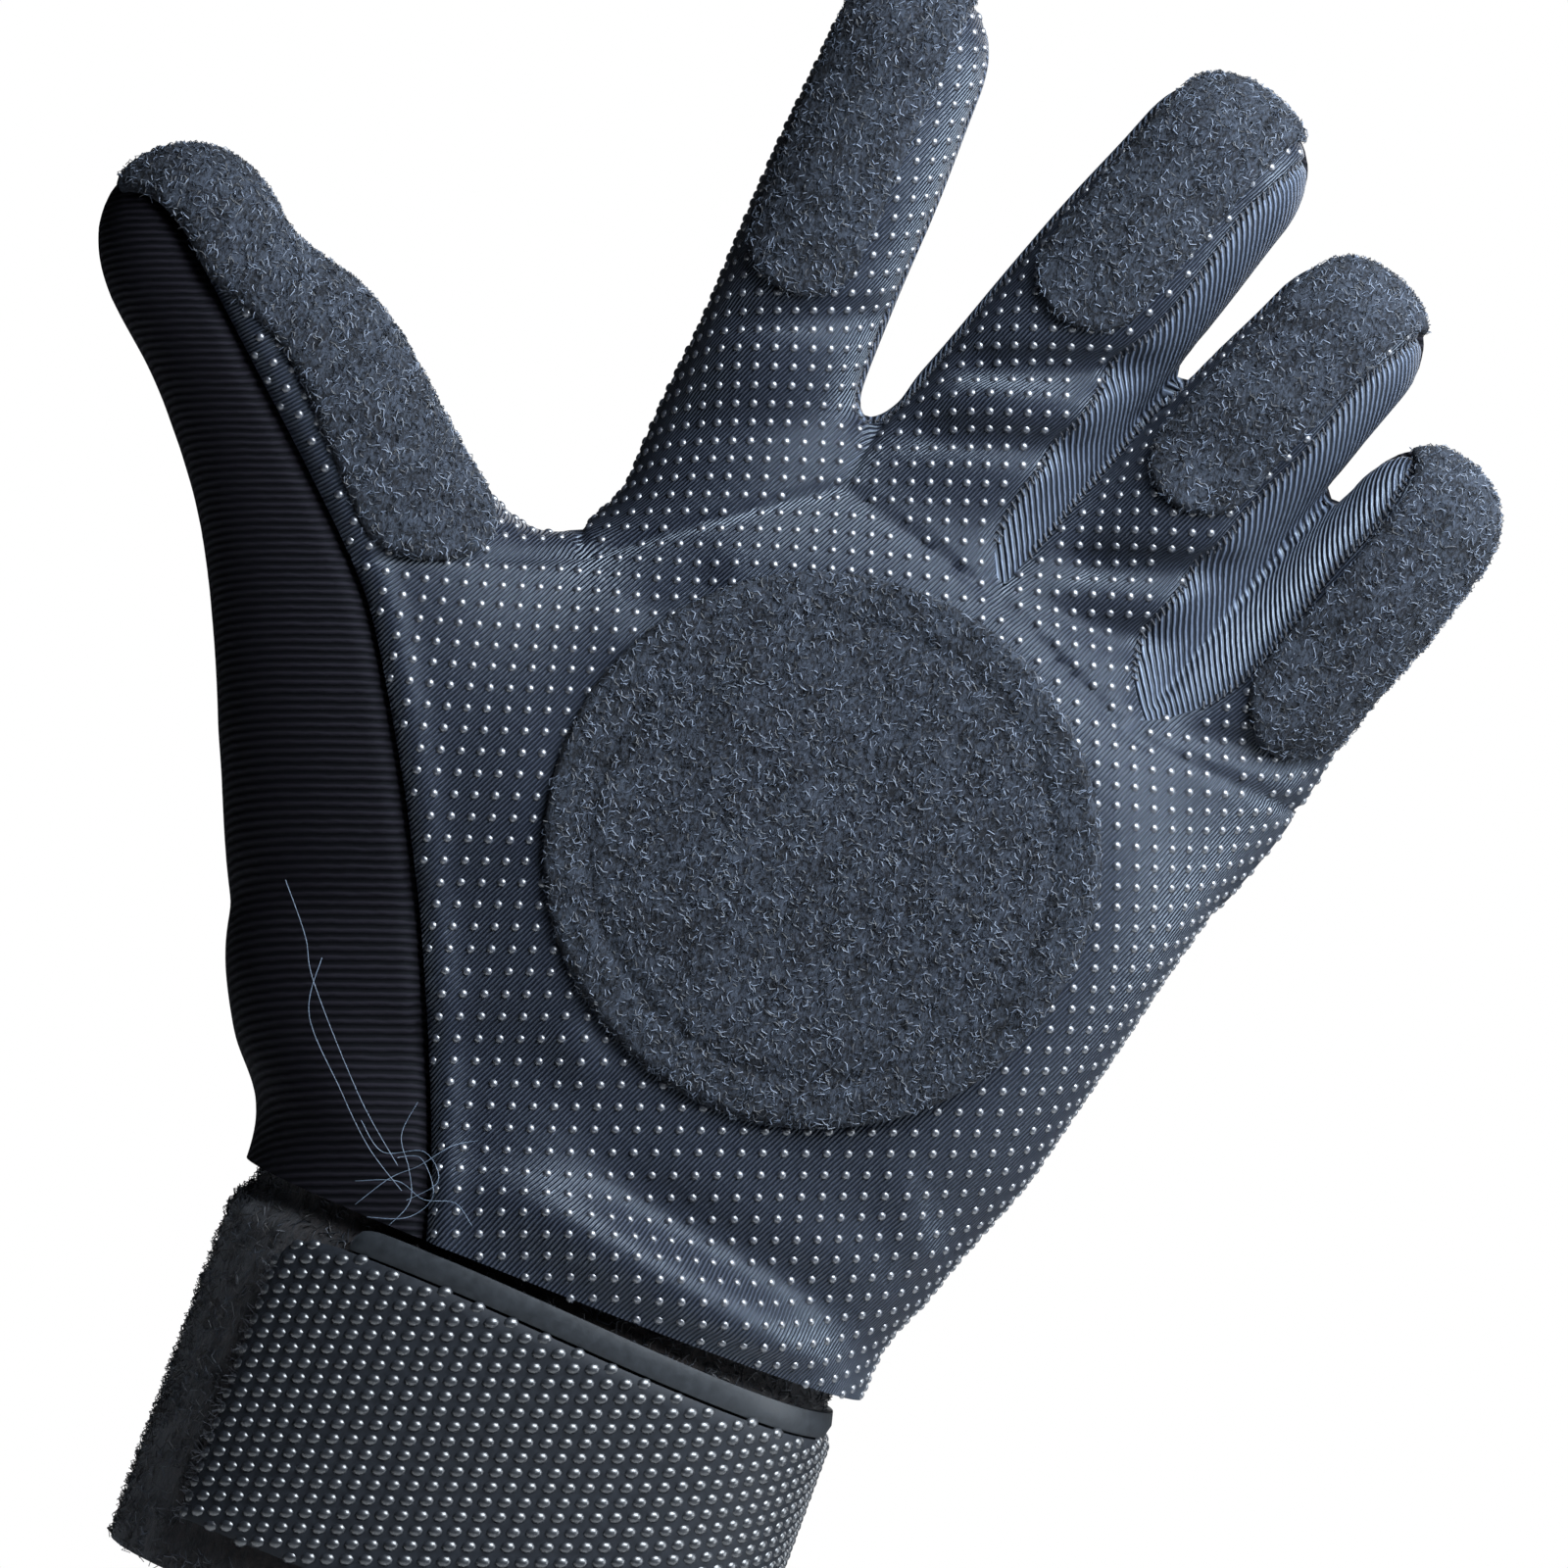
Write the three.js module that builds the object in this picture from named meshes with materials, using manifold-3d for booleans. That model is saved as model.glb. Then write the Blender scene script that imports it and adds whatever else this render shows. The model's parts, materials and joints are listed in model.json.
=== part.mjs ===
// Longboard slide glove for the left hand, in the form that it takes when it is worn.
// Millimetres. +Z runs up from the cuff to the fingers, the palm faces -Y and the thumb points to -X.
// The origin is the centre of the opening at the foot of the cuff.
import * as THREE from 'three';
import Module from 'manifold-3d';
import { mergeVertices } from 'three/addons/utils/BufferGeometryUtils.js';

const wasm = await Module();
wasm.setup();

// Cloth, pads and the small gaps between pieces
const WALL = 1.8;
const SEAM_GAP = 0.3;
const SEAT_GAP = 0.3;
const FINGER_PAD_THICKNESS = 1.8;

// Cuff, a tube of loop cloth tucked up inside the hem of the glove
const CUFF_BREADTH = 85.2;
const CUFF_DEPTH = 58;
const CUFF_TUCK = 4;
const CUFF_WALL = 2;
const CUFF_SHIFT = -1.2;
const TUCK_SLIMMING = 1.1;

// Wrist strap round the cuff, with a smooth tape along its upper edge
const STRAP_FOOT = 4;
const STRAP_WIDTH = 41.2;
const STRAP_THICKNESS = 2.4;
const STRAP_END = -35;
const STRAP_TAIL = -28;
const STRAP_CORNER = 9;
const TAPE_WIDTH = 3.5;
const TAPE_THICKNESS = 1.7;
const TAPE_END = -26;

// Palm, from its hem to the roots of the fingers
const HEM_HEIGHT = 52;
const HEM_RISE = 2.4;
const HEM_EASE = 1.6;
const HEM_EASE_DEEP = 0.75;
const HEM_SHIFT = 1;
const PALM_LENGTH = 97;
const PALM_BREADTH = 104;
const PALM_DEPTH = 42;

// Round pad on the palm
const PAD_DIAMETER = 74.5;
const PAD_THICKNESS = 3.2;
const PAD_RIM = 1.1;
const PAD_LEAN = 5;
const PAD_PRESS_INSET = 5.5;
const PAD_PRESS_WIDTH = 1.6;
const PAD_PRESS_DEPTH = 0.5;
const PAD_SUNK = 10;

// Where the middle of its face lies, in shares of the palm's breadth, length and depth
const PAD_CENTRE = { across: 0.145, up: 0.703, front: 0.505 };

// How each digit stands. Roots are shares of the palm's breadth and length, padFrom is a share of the
// digit's length, and angles are degrees: tilt is to the little finger's side, lean towards the viewer,
// and facing is how far the soft side of the digit is turned to the little finger's side. padAside is
// how far the pad lies to that side of the digit's middle, tip is the height of the digit's dome, and
// taper how much of its breadth it loses by then.
const THUMB = {
  rootAcross: -0.24, rootUp: 0.369, length: 120.4, breadth: 35.6, depth: 27, tilt: -41, lean: 9,
  facing: 48, padFrom: 0.46, padWidth: 18.5, padAside: 1.7, tip: 15, taper: 0,
};
const INDEX = {
  rootAcross: -0.133, rootUp: 0.907, length: 96.6, breadth: 23.8, depth: 23.5, tilt: 2.4, lean: 3,
  facing: -4, padFrom: 0.515, padWidth: 14.8, padAside: -1.8, tip: 13, taper: 0,
};
const MIDDLE = {
  rootAcross: 0.056, rootUp: 0.943, length: 98.2, breadth: 26.6, depth: 24, tilt: 19.3, lean: 3,
  facing: -12, padFrom: 0.585, padWidth: 17, padAside: 0.5, tip: 13, taper: 0,
};
const RING = {
  rootAcross: 0.316, rootUp: 0.951, length: 80.1, breadth: 25, depth: 23.5, tilt: 21.5, lean: 4,
  facing: -20, padFrom: 0.475, padWidth: 15.5, padAside: 2.2, tip: 12.5, taper: 0.03,
};
const LITTLE = {
  rootAcross: 0.555, rootUp: 0.871, length: 66.2, breadth: 24.4, depth: 21.5, tilt: 19.5, lean: 6,
  facing: 26, padFrom: 0.3, padWidth: 15.7, padAside: 0.2, tip: 12, taper: 0.12,
};
const FINGERS = [INDEX, MIDDLE, RING, LITTLE];
const DIGITS = [THUMB, ...FINGERS];

// Sections of the palm. up and rise are shares of its length, rise lifting the thumb's side; hem is how
// far a section still follows the hem; left and right are shares of its breadth, front and back of its
// depth; square is the power of its rounded outline.
const PALM_SECTIONS = [
  { up: 0, rise: 0, hem: 1, left: 0.43, right: 0.44, front: 0.72, back: 0.72, square: 2.4 },
  { up: 0.075, rise: 0, hem: 0.75, left: 0.47, right: 0.46, front: 0.72, back: 0.72, square: 2.4 },
  { up: 0.15, rise: 0, hem: 0.25, left: 0.51, right: 0.485, front: 0.65, back: 0.63, square: 2.6 },
  { up: 0.25, rise: 0.01, hem: 0, left: 0.54, right: 0.507, front: 0.6, back: 0.56, square: 2.9 },
  { up: 0.37, rise: 0.01, hem: 0, left: 0.55, right: 0.55, front: 0.565, back: 0.52, square: 3.3 },
  { up: 0.52, rise: 0.02, hem: 0, left: 0.49, right: 0.583, front: 0.54, back: 0.48, square: 3.6 },
  { up: 0.68, rise: 0.04, hem: 0, left: 0.425, right: 0.62, front: 0.515, back: 0.455, square: 3.8 },
  { up: 0.81, rise: 0.07, hem: 0, left: 0.345, right: 0.655, front: 0.49, back: 0.42, square: 3.6 },
  { up: 0.92, rise: 0.11, hem: 0, left: 0.272, right: 0.69, front: 0.455, back: 0.36, square: 3.1 },
  { up: 1, rise: 0.16, hem: 0, left: 0.205, right: 0.695, front: 0.37, back: 0.25, square: 2.6 },
];

// Sections of a finger below its domed tip. along is a share of that stretch, breadth of the finger's
// breadth, front and back of half its depth. The shallow fronts are the creases of its joints.
const FINGER_SECTIONS = [
  { along: 0, across: 0, breadth: 1.02, front: 1.22, back: 1.16 },
  { along: 0.2, across: -0.02, breadth: 1.09, front: 1.16, back: 1.12 },
  { along: 0.36, across: -0.03, breadth: 1.07, front: 1.02, back: 1.08 },
  { along: 0.5, across: -0.03, breadth: 1, front: 1.08, back: 1.03 },
  { along: 0.66, across: -0.03, breadth: 0.985, front: 0.97, back: 1.04 },
  { along: 0.82, across: -0.02, breadth: 0.98, front: 1.02, back: 0.98 },
  { along: 1, across: -0.01, breadth: 0.93, front: 0.95, back: 0.93 },
];

// Sections of the thumb, from the ball of the thumb to the start of its domed tip. across is a share
// of the thumb's breadth.
const THUMB_SECTIONS = [
  { along: 0, across: 0.06, breadth: 1.7, front: 1.45, back: 1.2 },
  { along: 0.2, across: 0.18, breadth: 1.8, front: 1.5, back: 1.28 },
  { along: 0.42, across: 0.235, breadth: 1.53, front: 1.3, back: 1.25 },
  { along: 0.57, across: 0.2, breadth: 1.2, front: 1.08, back: 1.12 },
  { along: 0.72, across: 0.2, breadth: 1, front: 0.98, back: 1 },
  { along: 0.87, across: 0.17, breadth: 0.875, front: 0.93, back: 0.9 },
  { along: 1, across: 0.045, breadth: 0.7, front: 0.82, back: 0.8 },
];

// Folds across the heel of the palm. Ends are shares of the palm's breadth and length, rise and spread
// of its depth; a negative rise is a valley.
const PALM_FOLDS = [
  { across: -0.075, up: 0.23, toAcross: 0.36, toUp: 0.06, rise: 0.055, spread: 0.13 },
  { across: -0.145, up: 0.12, toAcross: 0.03, toUp: 0.075, rise: -0.055, spread: 0.12 },
  { across: 0.06, up: 0.275, toAcross: 0.355, toUp: 0.165, rise: -0.05, spread: 0.12 },
  { across: -0.36, up: 0.14, toAcross: -0.2, toUp: 0.25, rise: -0.045, spread: 0.12 },
];

// Seam between the palm and the side of the thumb, from the hem up to where the thumb parts from the
// palm, as shares of the palm's breadth and length.
const SIDE_SEAM = [
  { across: -0.16, up: 0.02 },
  { across: -0.19, up: 0.121 },
  { across: -0.226, up: 0.223 },
  { across: -0.301, up: 0.41 },
  { across: -0.387, up: 0.593 },
  { across: -0.492, up: 0.784 },
  { across: -0.552, up: 0.862 },
];

// Its run along the thumb, as shares of the thumb's length and breadth.
const THUMB_SEAM = [
  { along: 0.6, across: 0.165 },
  { along: 0.73, across: 0.12 },
  { along: 0.86, across: 0.075 },
  { along: 0.94, across: 0.04 },
  { along: 1.04, across: -0.02 },
];

// Where neighbouring digits part, as heights in shares of the palm's length. The web lies beside the
// index's root, by a share of its breadth, and the lines that part the outer digits slope as given.
const WEB_UP = 0.975;
const WEB_ASIDE = 0.62;
const WEB_SLOPE = { across: -0.45, up: 0.89 };
const ULNAR_SLOPE = { across: 1, up: 0.3 };
const CROTCHES_UP = [1.225, 1.15, 1.035];
const ULNAR_UP = 0.96;
const CROTCH_DROP = 3.5;

// Seams along the fingers: half the width of the strips between them, and where the strips stop short
// of the tip. The palm's cloth wraps past the middle of the index, the thumb and the hand's edge, and
// on the index's other side it ends short of the middle by INDEX_SEAM.
const STRIP_HALF_WIDTH = 6.2;
const STRIP_STOP = 8;
const INDEX_WRAP = 4;
const INDEX_SEAM = 1.5;
const THUMB_WRAP = 5;
const EDGE_WRAP = 1.5;

// Counts for the rounded forms
const DIGIT_SIDES = 14;
const PALM_SIDES = 26;
const CUFF_SIDES = 40;
const PAD_SIDES = 40;
const DOME_STEPS = 3;
const PALM_LEVELS = 10;
const CORNER_STEPS = 3;

// Powers of the rounded outlines, and where the dome at a tip ends in its small flat top
const DIGIT_SQUARE = 2.25;
const DOME_SQUARE = 2.3;
const DOME_END = 82;
const CUFF_SQUARE = 2.4;

// What the cutting forms need: how far they run, how far they run past what they cut, how far they
// overlap each other, and the sharpest corner that one keeps when it grows. Points closer than MERGE
// are one point, and a cut-off body smaller than CRUMB cubic millimetres is dropped.
const FAR = 400;
const PAST = 2;
const LAP = 0.05;
const SHARPEST = 0.5;
const MERGE = 1e-3;
const CRUMB = 1;

const radians = THREE.MathUtils.degToRad;

function signedPower(value, power) {
  return Math.sign(value) * Math.abs(value) ** power;
}

// A point on a rounded outline whose front and back may differ in depth.
function outlinePoint(angle, halfBreadth, front, back, square) {
  const across = signedPower(Math.cos(angle), 2 / square) * halfBreadth;
  const outward = signedPower(Math.sin(angle), 2 / square);
  return { across, deep: outward * (outward < 0 ? front : back) };
}

function toManifold(geometry) {
  geometry.deleteAttribute('normal');
  geometry.deleteAttribute('uv');
  const merged = mergeVertices(geometry, MERGE);
  const kept = [];
  const index = merged.index.array;
  for (let i = 0; i < index.length; i += 3) {
    const [a, b, c] = [index[i], index[i + 1], index[i + 2]];
    if (a !== b && b !== c && c !== a) kept.push(a, b, c);
  }
  const vertProperties = new Float32Array(merged.attributes.position.array);
  const triVerts = new Uint32Array(kept);
  return new wasm.Manifold(new wasm.Mesh({ numProp: 3, vertProperties, triVerts }));
}

function toGeometry(solid) {
  const mesh = solid.getMesh();
  const geometry = new THREE.BufferGeometry();
  geometry.setAttribute('position', new THREE.BufferAttribute(new Float32Array(mesh.vertProperties), 3));
  geometry.setIndex(new THREE.BufferAttribute(new Uint32Array(mesh.triVerts), 1));
  geometry.computeVertexNormals();
  return geometry;
}

// A closed solid through rings of points that turn the same way, with a flat cap at each end.
function loft(rings) {
  const sides = rings[0].length;
  const points = rings.flat();
  const middles = [rings[0], rings[rings.length - 1]].map((ring) => {
    const middle = new THREE.Vector3();
    ring.forEach((point) => middle.add(point));
    return middle.divideScalar(sides);
  });
  points.push(...middles);
  const foot = rings.length * sides;
  const index = [];
  for (let side = 0; side < sides; side += 1) {
    const next = (side + 1) % sides;
    for (let ring = 0; ring + 1 < rings.length; ring += 1) {
      const low = ring * sides;
      const high = low + sides;
      index.push(low + side, low + next, high + next);
      index.push(low + side, high + next, high + side);
    }
    const last = (rings.length - 1) * sides;
    index.push(foot, next, side);
    index.push(foot + 1, last + side, last + next);
  }
  const geometry = new THREE.BufferGeometry().setFromPoints(points);
  geometry.setIndex(index);
  return toManifold(geometry);
}

// The row of a table of sections at a place between its rows, on a smooth curve through them.
function sectionAt(rows, key, place) {
  let after = rows.findIndex((row) => row[key] >= place);
  after = after < 0 ? rows.length - 1 : Math.max(after, 1);
  const ends = [after - 2, after - 1, after, after + 1];
  const [p0, p1, p2, p3] = ends.map((i) => rows[Math.min(Math.max(i, 0), rows.length - 1)]);
  const t = (place - p1[key]) / (p2[key] - p1[key]);
  const section = {};
  for (const column of Object.keys(p1)) {
    const slope = (p2[column] - p0[column]) / 2;
    const nextSlope = (p3[column] - p1[column]) / 2;
    const rise = p2[column] - p1[column];
    section[column] = p1[column] + slope * t + (3 * rise - 2 * slope - nextSlope) * t ** 2
      + (slope + nextSlope - 2 * rise) * t ** 3;
  }
  section[key] = place;
  return section;
}

// A prism over an outline in the XZ plane, from one Y to another.
function prism(outline, fromY, toY) {
  const shape = new THREE.Shape(outline.map((point) => new THREE.Vector2(point.x, point.z)));
  const geometry = new THREE.ExtrudeGeometry(shape, { depth: toY - fromY, bevelEnabled: false });
  geometry.rotateX(Math.PI / 2);
  geometry.translate(0, toY, 0);
  return toManifold(geometry);
}

// An outline in the XZ plane pushed out by a distance.
function pushedOut(outline, distance) {
  const area = outline.reduce((sum, point, i) => {
    const next = outline[(i + 1) % outline.length];
    return sum + point.x * next.z - next.x * point.z;
  }, 0);
  const outward = Math.sign(area);
  return outline.map((point, i) => {
    const before = outline[(i + outline.length - 1) % outline.length];
    const after = outline[(i + 1) % outline.length];
    const first = new THREE.Vector2(point.z - before.z, before.x - point.x).normalize();
    const second = new THREE.Vector2(after.z - point.z, point.x - after.x).normalize();
    const middle = first.clone().add(second).normalize();
    const reach = (outward * distance) / Math.max(middle.dot(first), SHARPEST);
    return { x: point.x + middle.x * reach, z: point.z + middle.y * reach };
  });
}

// What a cut leaves, without the specks that lie where two cutting faces cross.
function withoutCrumbs(solid) {
  return united(solid.decompose().filter((body) => body.volume() > CRUMB));
}

function united(solids) {
  return solids.reduce((whole, solid) => whole.add(solid));
}

const palmX = (share) => share * PALM_BREADTH;
const palmZ = (share) => HEM_HEIGHT + share * PALM_LENGTH;

// Cuff
const cuffTop = {
  halfBreadth: CUFF_BREADTH / 2 - TUCK_SLIMMING,
  halfDepth: CUFF_DEPTH / 2 - TUCK_SLIMMING,
};
const strapTop = STRAP_FOOT + STRAP_WIDTH;
const tapeFoot = strapTop + SEAM_GAP;
const tapeTop = tapeFoot + TAPE_WIDTH;

function cuffRing(height, halfBreadth, halfDepth, shift) {
  return Array.from({ length: CUFF_SIDES }, (unused, side) => {
    const angle = (side / CUFF_SIDES) * 2 * Math.PI;
    const point = outlinePoint(angle, halfBreadth, halfDepth, halfDepth, CUFF_SQUARE);
    return new THREE.Vector3(shift + point.across, point.deep, height);
  });
}

function cuffBand() {
  const body = (grow, foot, head) => loft([
    cuffRing(foot, CUFF_BREADTH / 2 + grow, CUFF_DEPTH / 2 + grow, CUFF_SHIFT),
    cuffRing(tapeTop, CUFF_BREADTH / 2 + grow, CUFF_DEPTH / 2 + grow, CUFF_SHIFT),
    cuffRing(HEM_HEIGHT, cuffTop.halfBreadth + grow, cuffTop.halfDepth + grow, 0),
    cuffRing(head, cuffTop.halfBreadth + grow, cuffTop.halfDepth + grow, 0),
  ]);
  const top = HEM_HEIGHT + CUFF_TUCK;
  return body(0, 0, top).subtract(body(-CUFF_WALL, -PAST, top + PAST));
}

// A band round the cuff that stays open on the thumb's side, between its end in front and behind.
function bandRoundCuff(foot, top, thickness, endInFront, corner) {
  const tube = (grow, low, high) => loft([low, high].map((height) => (
    cuffRing(height, CUFF_BREADTH / 2 + grow, CUFF_DEPTH / 2 + grow, CUFF_SHIFT))));
  const band = tube(SEAT_GAP + thickness, foot, top).subtract(tube(SEAT_GAP, foot - PAST, top + PAST));
  const rounding = Array.from({ length: CORNER_STEPS + 1 }, (unused, step) => {
    const angle = (step / CORNER_STEPS) * (Math.PI / 2);
    return {
      x: endInFront + corner * (1 - Math.cos(angle)),
      z: top - (corner / 2) * (1 - Math.sin(angle)),
    };
  });
  const window = [
    { x: -FAR, z: foot - PAST },
    { x: endInFront, z: foot - PAST },
    ...rounding,
    { x: endInFront + corner, z: top + PAST },
    { x: -FAR, z: top + PAST },
  ];
  const windowBehind = [
    { x: -FAR, z: foot - PAST },
    { x: STRAP_TAIL, z: foot - PAST },
    { x: STRAP_TAIL, z: top + PAST },
    { x: -FAR, z: top + PAST },
  ];
  return band.subtract(prism(window, -FAR, 0)).subtract(prism(windowBehind, -PAST, FAR));
}

// Hand
function foldHeight(x, z) {
  return PALM_FOLDS.reduce((sum, fold) => {
    const start = new THREE.Vector3(palmX(fold.across), 0, palmZ(fold.up));
    const end = new THREE.Vector3(palmX(fold.toAcross), 0, palmZ(fold.toUp));
    const point = new THREE.Vector3(x, 0, z);
    const nearest = new THREE.Line3(start, end).closestPointToPoint(point, true, new THREE.Vector3());
    const spread = fold.spread * PALM_DEPTH;
    return sum + fold.rise * PALM_DEPTH * Math.exp(-((nearest.distanceTo(point) / spread) ** 2));
  }, 0);
}

function palmRing(section, grow, lift) {
  const hem = {
    halfBreadth: cuffTop.halfBreadth + HEM_EASE + WALL,
    halfDepth: cuffTop.halfDepth + HEM_EASE_DEEP + WALL,
  };
  const mix = (atHem, above) => atHem * section.hem + above * (1 - section.hem);
  const left = mix(HEM_SHIFT - hem.halfBreadth, -palmX(section.left)) - grow;
  const right = mix(HEM_SHIFT + hem.halfBreadth, palmX(section.right)) + grow;
  const front = mix(hem.halfDepth, section.front * PALM_DEPTH) + grow;
  const back = mix(hem.halfDepth, section.back * PALM_DEPTH) + grow;
  const rise = HEM_RISE + section.rise * PALM_LENGTH;
  return Array.from({ length: PALM_SIDES }, (unused, side) => {
    const angle = (side / PALM_SIDES) * 2 * Math.PI;
    const point = outlinePoint(angle, (right - left) / 2, front, back, section.square);
    const x = (left + right) / 2 + point.across;
    const z = palmZ(section.up) + lift + (rise * (right - x)) / (right - left);
    const aboveHem = 1 - section.hem;
    const fold = point.deep < 0 ? (point.deep / -front) * aboveHem * foldHeight(x, z) : 0;
    return new THREE.Vector3(x, point.deep - fold, z);
  });
}

function palmForm(grow) {
  const rings = [];
  for (let level = 0; level <= PALM_LEVELS; level += 1) {
    const last = level === PALM_LEVELS;
    const section = sectionAt(PALM_SECTIONS, 'up', level / PALM_LEVELS);
    rings.push(palmRing(section, grow, last ? grow : 0));
  }
  if (grow < 0) rings.unshift(palmRing(PALM_SECTIONS[0], grow, -PAST));
  return loft(rings);
}

// The digit's own frame: X across it, Y to its back and Z along it. turn rolls it about its length.
function digitFrame(digit, turn = 0) {
  const frame = new THREE.Matrix4().makeRotationY(radians(digit.tilt));
  frame.multiply(new THREE.Matrix4().makeRotationX(radians(digit.lean)));
  frame.multiply(new THREE.Matrix4().makeRotationZ(radians(turn)));
  return frame.setPosition(palmX(digit.rootAcross), 0, palmZ(digit.rootUp));
}

function sectionsOf(digit) {
  return digit === THUMB ? THUMB_SECTIONS : FINGER_SECTIONS;
}

function digitForm(digit, grow) {
  const rows = sectionsOf(digit);
  const stretch = digit.length - digit.tip;
  const frame = digitFrame(digit);
  const ring = (section, height, taper) => Array.from({ length: DIGIT_SIDES }, (unused, side) => {
    const angle = (side / DIGIT_SIDES) * 2 * Math.PI;
    const slimmed = digit.breadth * (1 - digit.taper * section.along);
    const halfBreadth = ((section.breadth * slimmed) / 2 + grow) * taper;
    const front = ((section.front * digit.depth) / 2 + grow) * taper;
    const back = ((section.back * digit.depth) / 2 + grow) * taper;
    const point = outlinePoint(angle, halfBreadth, front, back, DIGIT_SQUARE);
    const centre = section.across * digit.breadth;
    return new THREE.Vector3(centre + point.across, point.deep, height).applyMatrix4(frame);
  });
  const rings = rows.map((section) => ring(section, section.along * stretch, 1));
  const end = rows[rows.length - 1];
  for (let step = 1; step <= DOME_STEPS; step += 1) {
    const rise = Math.sin((step / DOME_STEPS) * radians(DOME_END));
    const slimming = (1 - rise ** DOME_SQUARE) ** (1 / DOME_SQUARE);
    rings.push(ring(end, stretch + rise * (digit.tip + grow), slimming));
  }
  return loft(rings);
}

function handForm(grow) {
  return united([palmForm(grow), ...DIGITS.map((digit) => digitForm(digit, grow))]);
}

// Panels. Each digit has a cell of its own above the palm, so that its seams follow it.
function alongBisector(digit, neighbour, height) {
  const shorter = Math.min(digit.length, neighbour.length);
  const middleAt = (along) => {
    const one = new THREE.Vector3(0, 0, along).applyMatrix4(digitFrame(digit));
    const other = new THREE.Vector3(0, 0, along).applyMatrix4(digitFrame(neighbour));
    return one.add(other).divideScalar(2);
  };
  const [low, high] = [middleAt(0), middleAt(shorter)];
  const share = (height - low.z) / (high.z - low.z);
  return { x: low.x + share * (high.x - low.x), z: height };
}

const web = { x: palmX(INDEX.rootAcross) - WEB_ASIDE * INDEX.breadth, z: palmZ(WEB_UP) };
const ulnar = { x: palmX(1), z: palmZ(ULNAR_UP) };
const farAlong = (start, slope) => ({ x: start.x + slope.across * FAR, z: start.z + slope.up * FAR });
const webFar = farAlong(web, WEB_SLOPE);
const ulnarFar = farAlong(ulnar, ULNAR_SLOPE);
const crotchLow = CROTCHES_UP.map((up, i) => (
  alongBisector(FINGERS[i], FINGERS[i + 1], palmZ(up) - CROTCH_DROP)));
const crotchFar = CROTCHES_UP.map((up, i) => alongBisector(FINGERS[i], FINGERS[i + 1], FAR));

function fingerCell(i) {
  const left = i === 0 ? [web, webFar] : [crotchLow[i - 1], crotchFar[i - 1]];
  const right = i === FINGERS.length - 1 ? [ulnarFar, ulnar] : [crotchFar[i], crotchLow[i]];
  return [...left, ...right];
}

const sideSeam = SIDE_SEAM.map((point) => ({ x: palmX(point.across), z: palmZ(point.up) }));
const thumbSeam = THUMB_SEAM.map((point) => {
  const place = new THREE.Vector3(point.across * THUMB.breadth, 0, point.along * THUMB.length);
  place.applyMatrix4(digitFrame(THUMB));
  return { x: place.x, z: place.z };
});
const parting = sideSeam[sideSeam.length - 1];
const seamEnd = thumbSeam[thumbSeam.length - 1];
const thumbCell = [parting, ...thumbSeam, { x: webFar.x, z: seamEnd.z }, webFar, web];
const palmCell = [...sideSeam, web, ...crotchLow, ulnar, { x: FAR, z: ulnar.z }, { x: FAR, z: 0 },
  { x: sideSeam[0].x, z: 0 }];

// A block in a digit's own frame, between two places in each direction.
function slab(digit, across, deep, along, turn) {
  const ranges = [across, deep, along];
  const geometry = new THREE.BoxGeometry(...ranges.map(([low, high]) => high - low));
  geometry.translate(...ranges.map(([low, high]) => (low + high) / 2));
  return toManifold(geometry.applyMatrix4(digitFrame(digit, turn)));
}

function frontMask(grow) {
  const palm = prism(pushedOut(palmCell, grow + LAP), -FAR, EDGE_WRAP + grow);
  const thumb = prism(pushedOut(thumbCell, grow + LAP), -FAR, FAR)
    .intersect(slab(THUMB, [-FAR, FAR], [-FAR, THUMB_WRAP + grow], [-FAR, FAR], 0));
  const fingers = FINGERS.map((finger, i) => {
    const stop = finger.length - STRIP_STOP;
    const leftSeam = i === 0 ? INDEX_WRAP : -STRIP_HALF_WIDTH;
    const lastSeam = i === FINGERS.length - 1 ? EDGE_WRAP : -STRIP_HALF_WIDTH;
    const rightSeam = i === 0 ? -INDEX_SEAM : lastSeam;
    const front = united([
      slab(finger, [-FAR, LAP], [-FAR, leftSeam + grow], [-FAR, FAR], finger.facing),
      slab(finger, [-LAP, FAR], [-FAR, rightSeam + grow], [-FAR, FAR], finger.facing),
      slab(finger, [-FAR, FAR], [-FAR, grow], [stop, FAR], finger.facing),
    ]);
    return prism(pushedOut(fingerCell(i), grow + LAP), -FAR, FAR).intersect(front);
  });
  return united([palm, thumb, ...fingers]);
}

function stripMask(i, grow) {
  const deep = [-STRIP_HALF_WIDTH - grow, STRIP_HALF_WIDTH + grow];
  return united([0, 1].map((side) => {
    const finger = FINGERS[i + side];
    const across = side === 0 ? [-LAP, FAR] : [-FAR, LAP];
    const along = [-FAR, finger.length - STRIP_STOP + grow];
    return prism(pushedOut(fingerCell(i + side), grow + LAP), -FAR, FAR)
      .intersect(slab(finger, across, deep, along, finger.facing));
  }));
}

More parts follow.
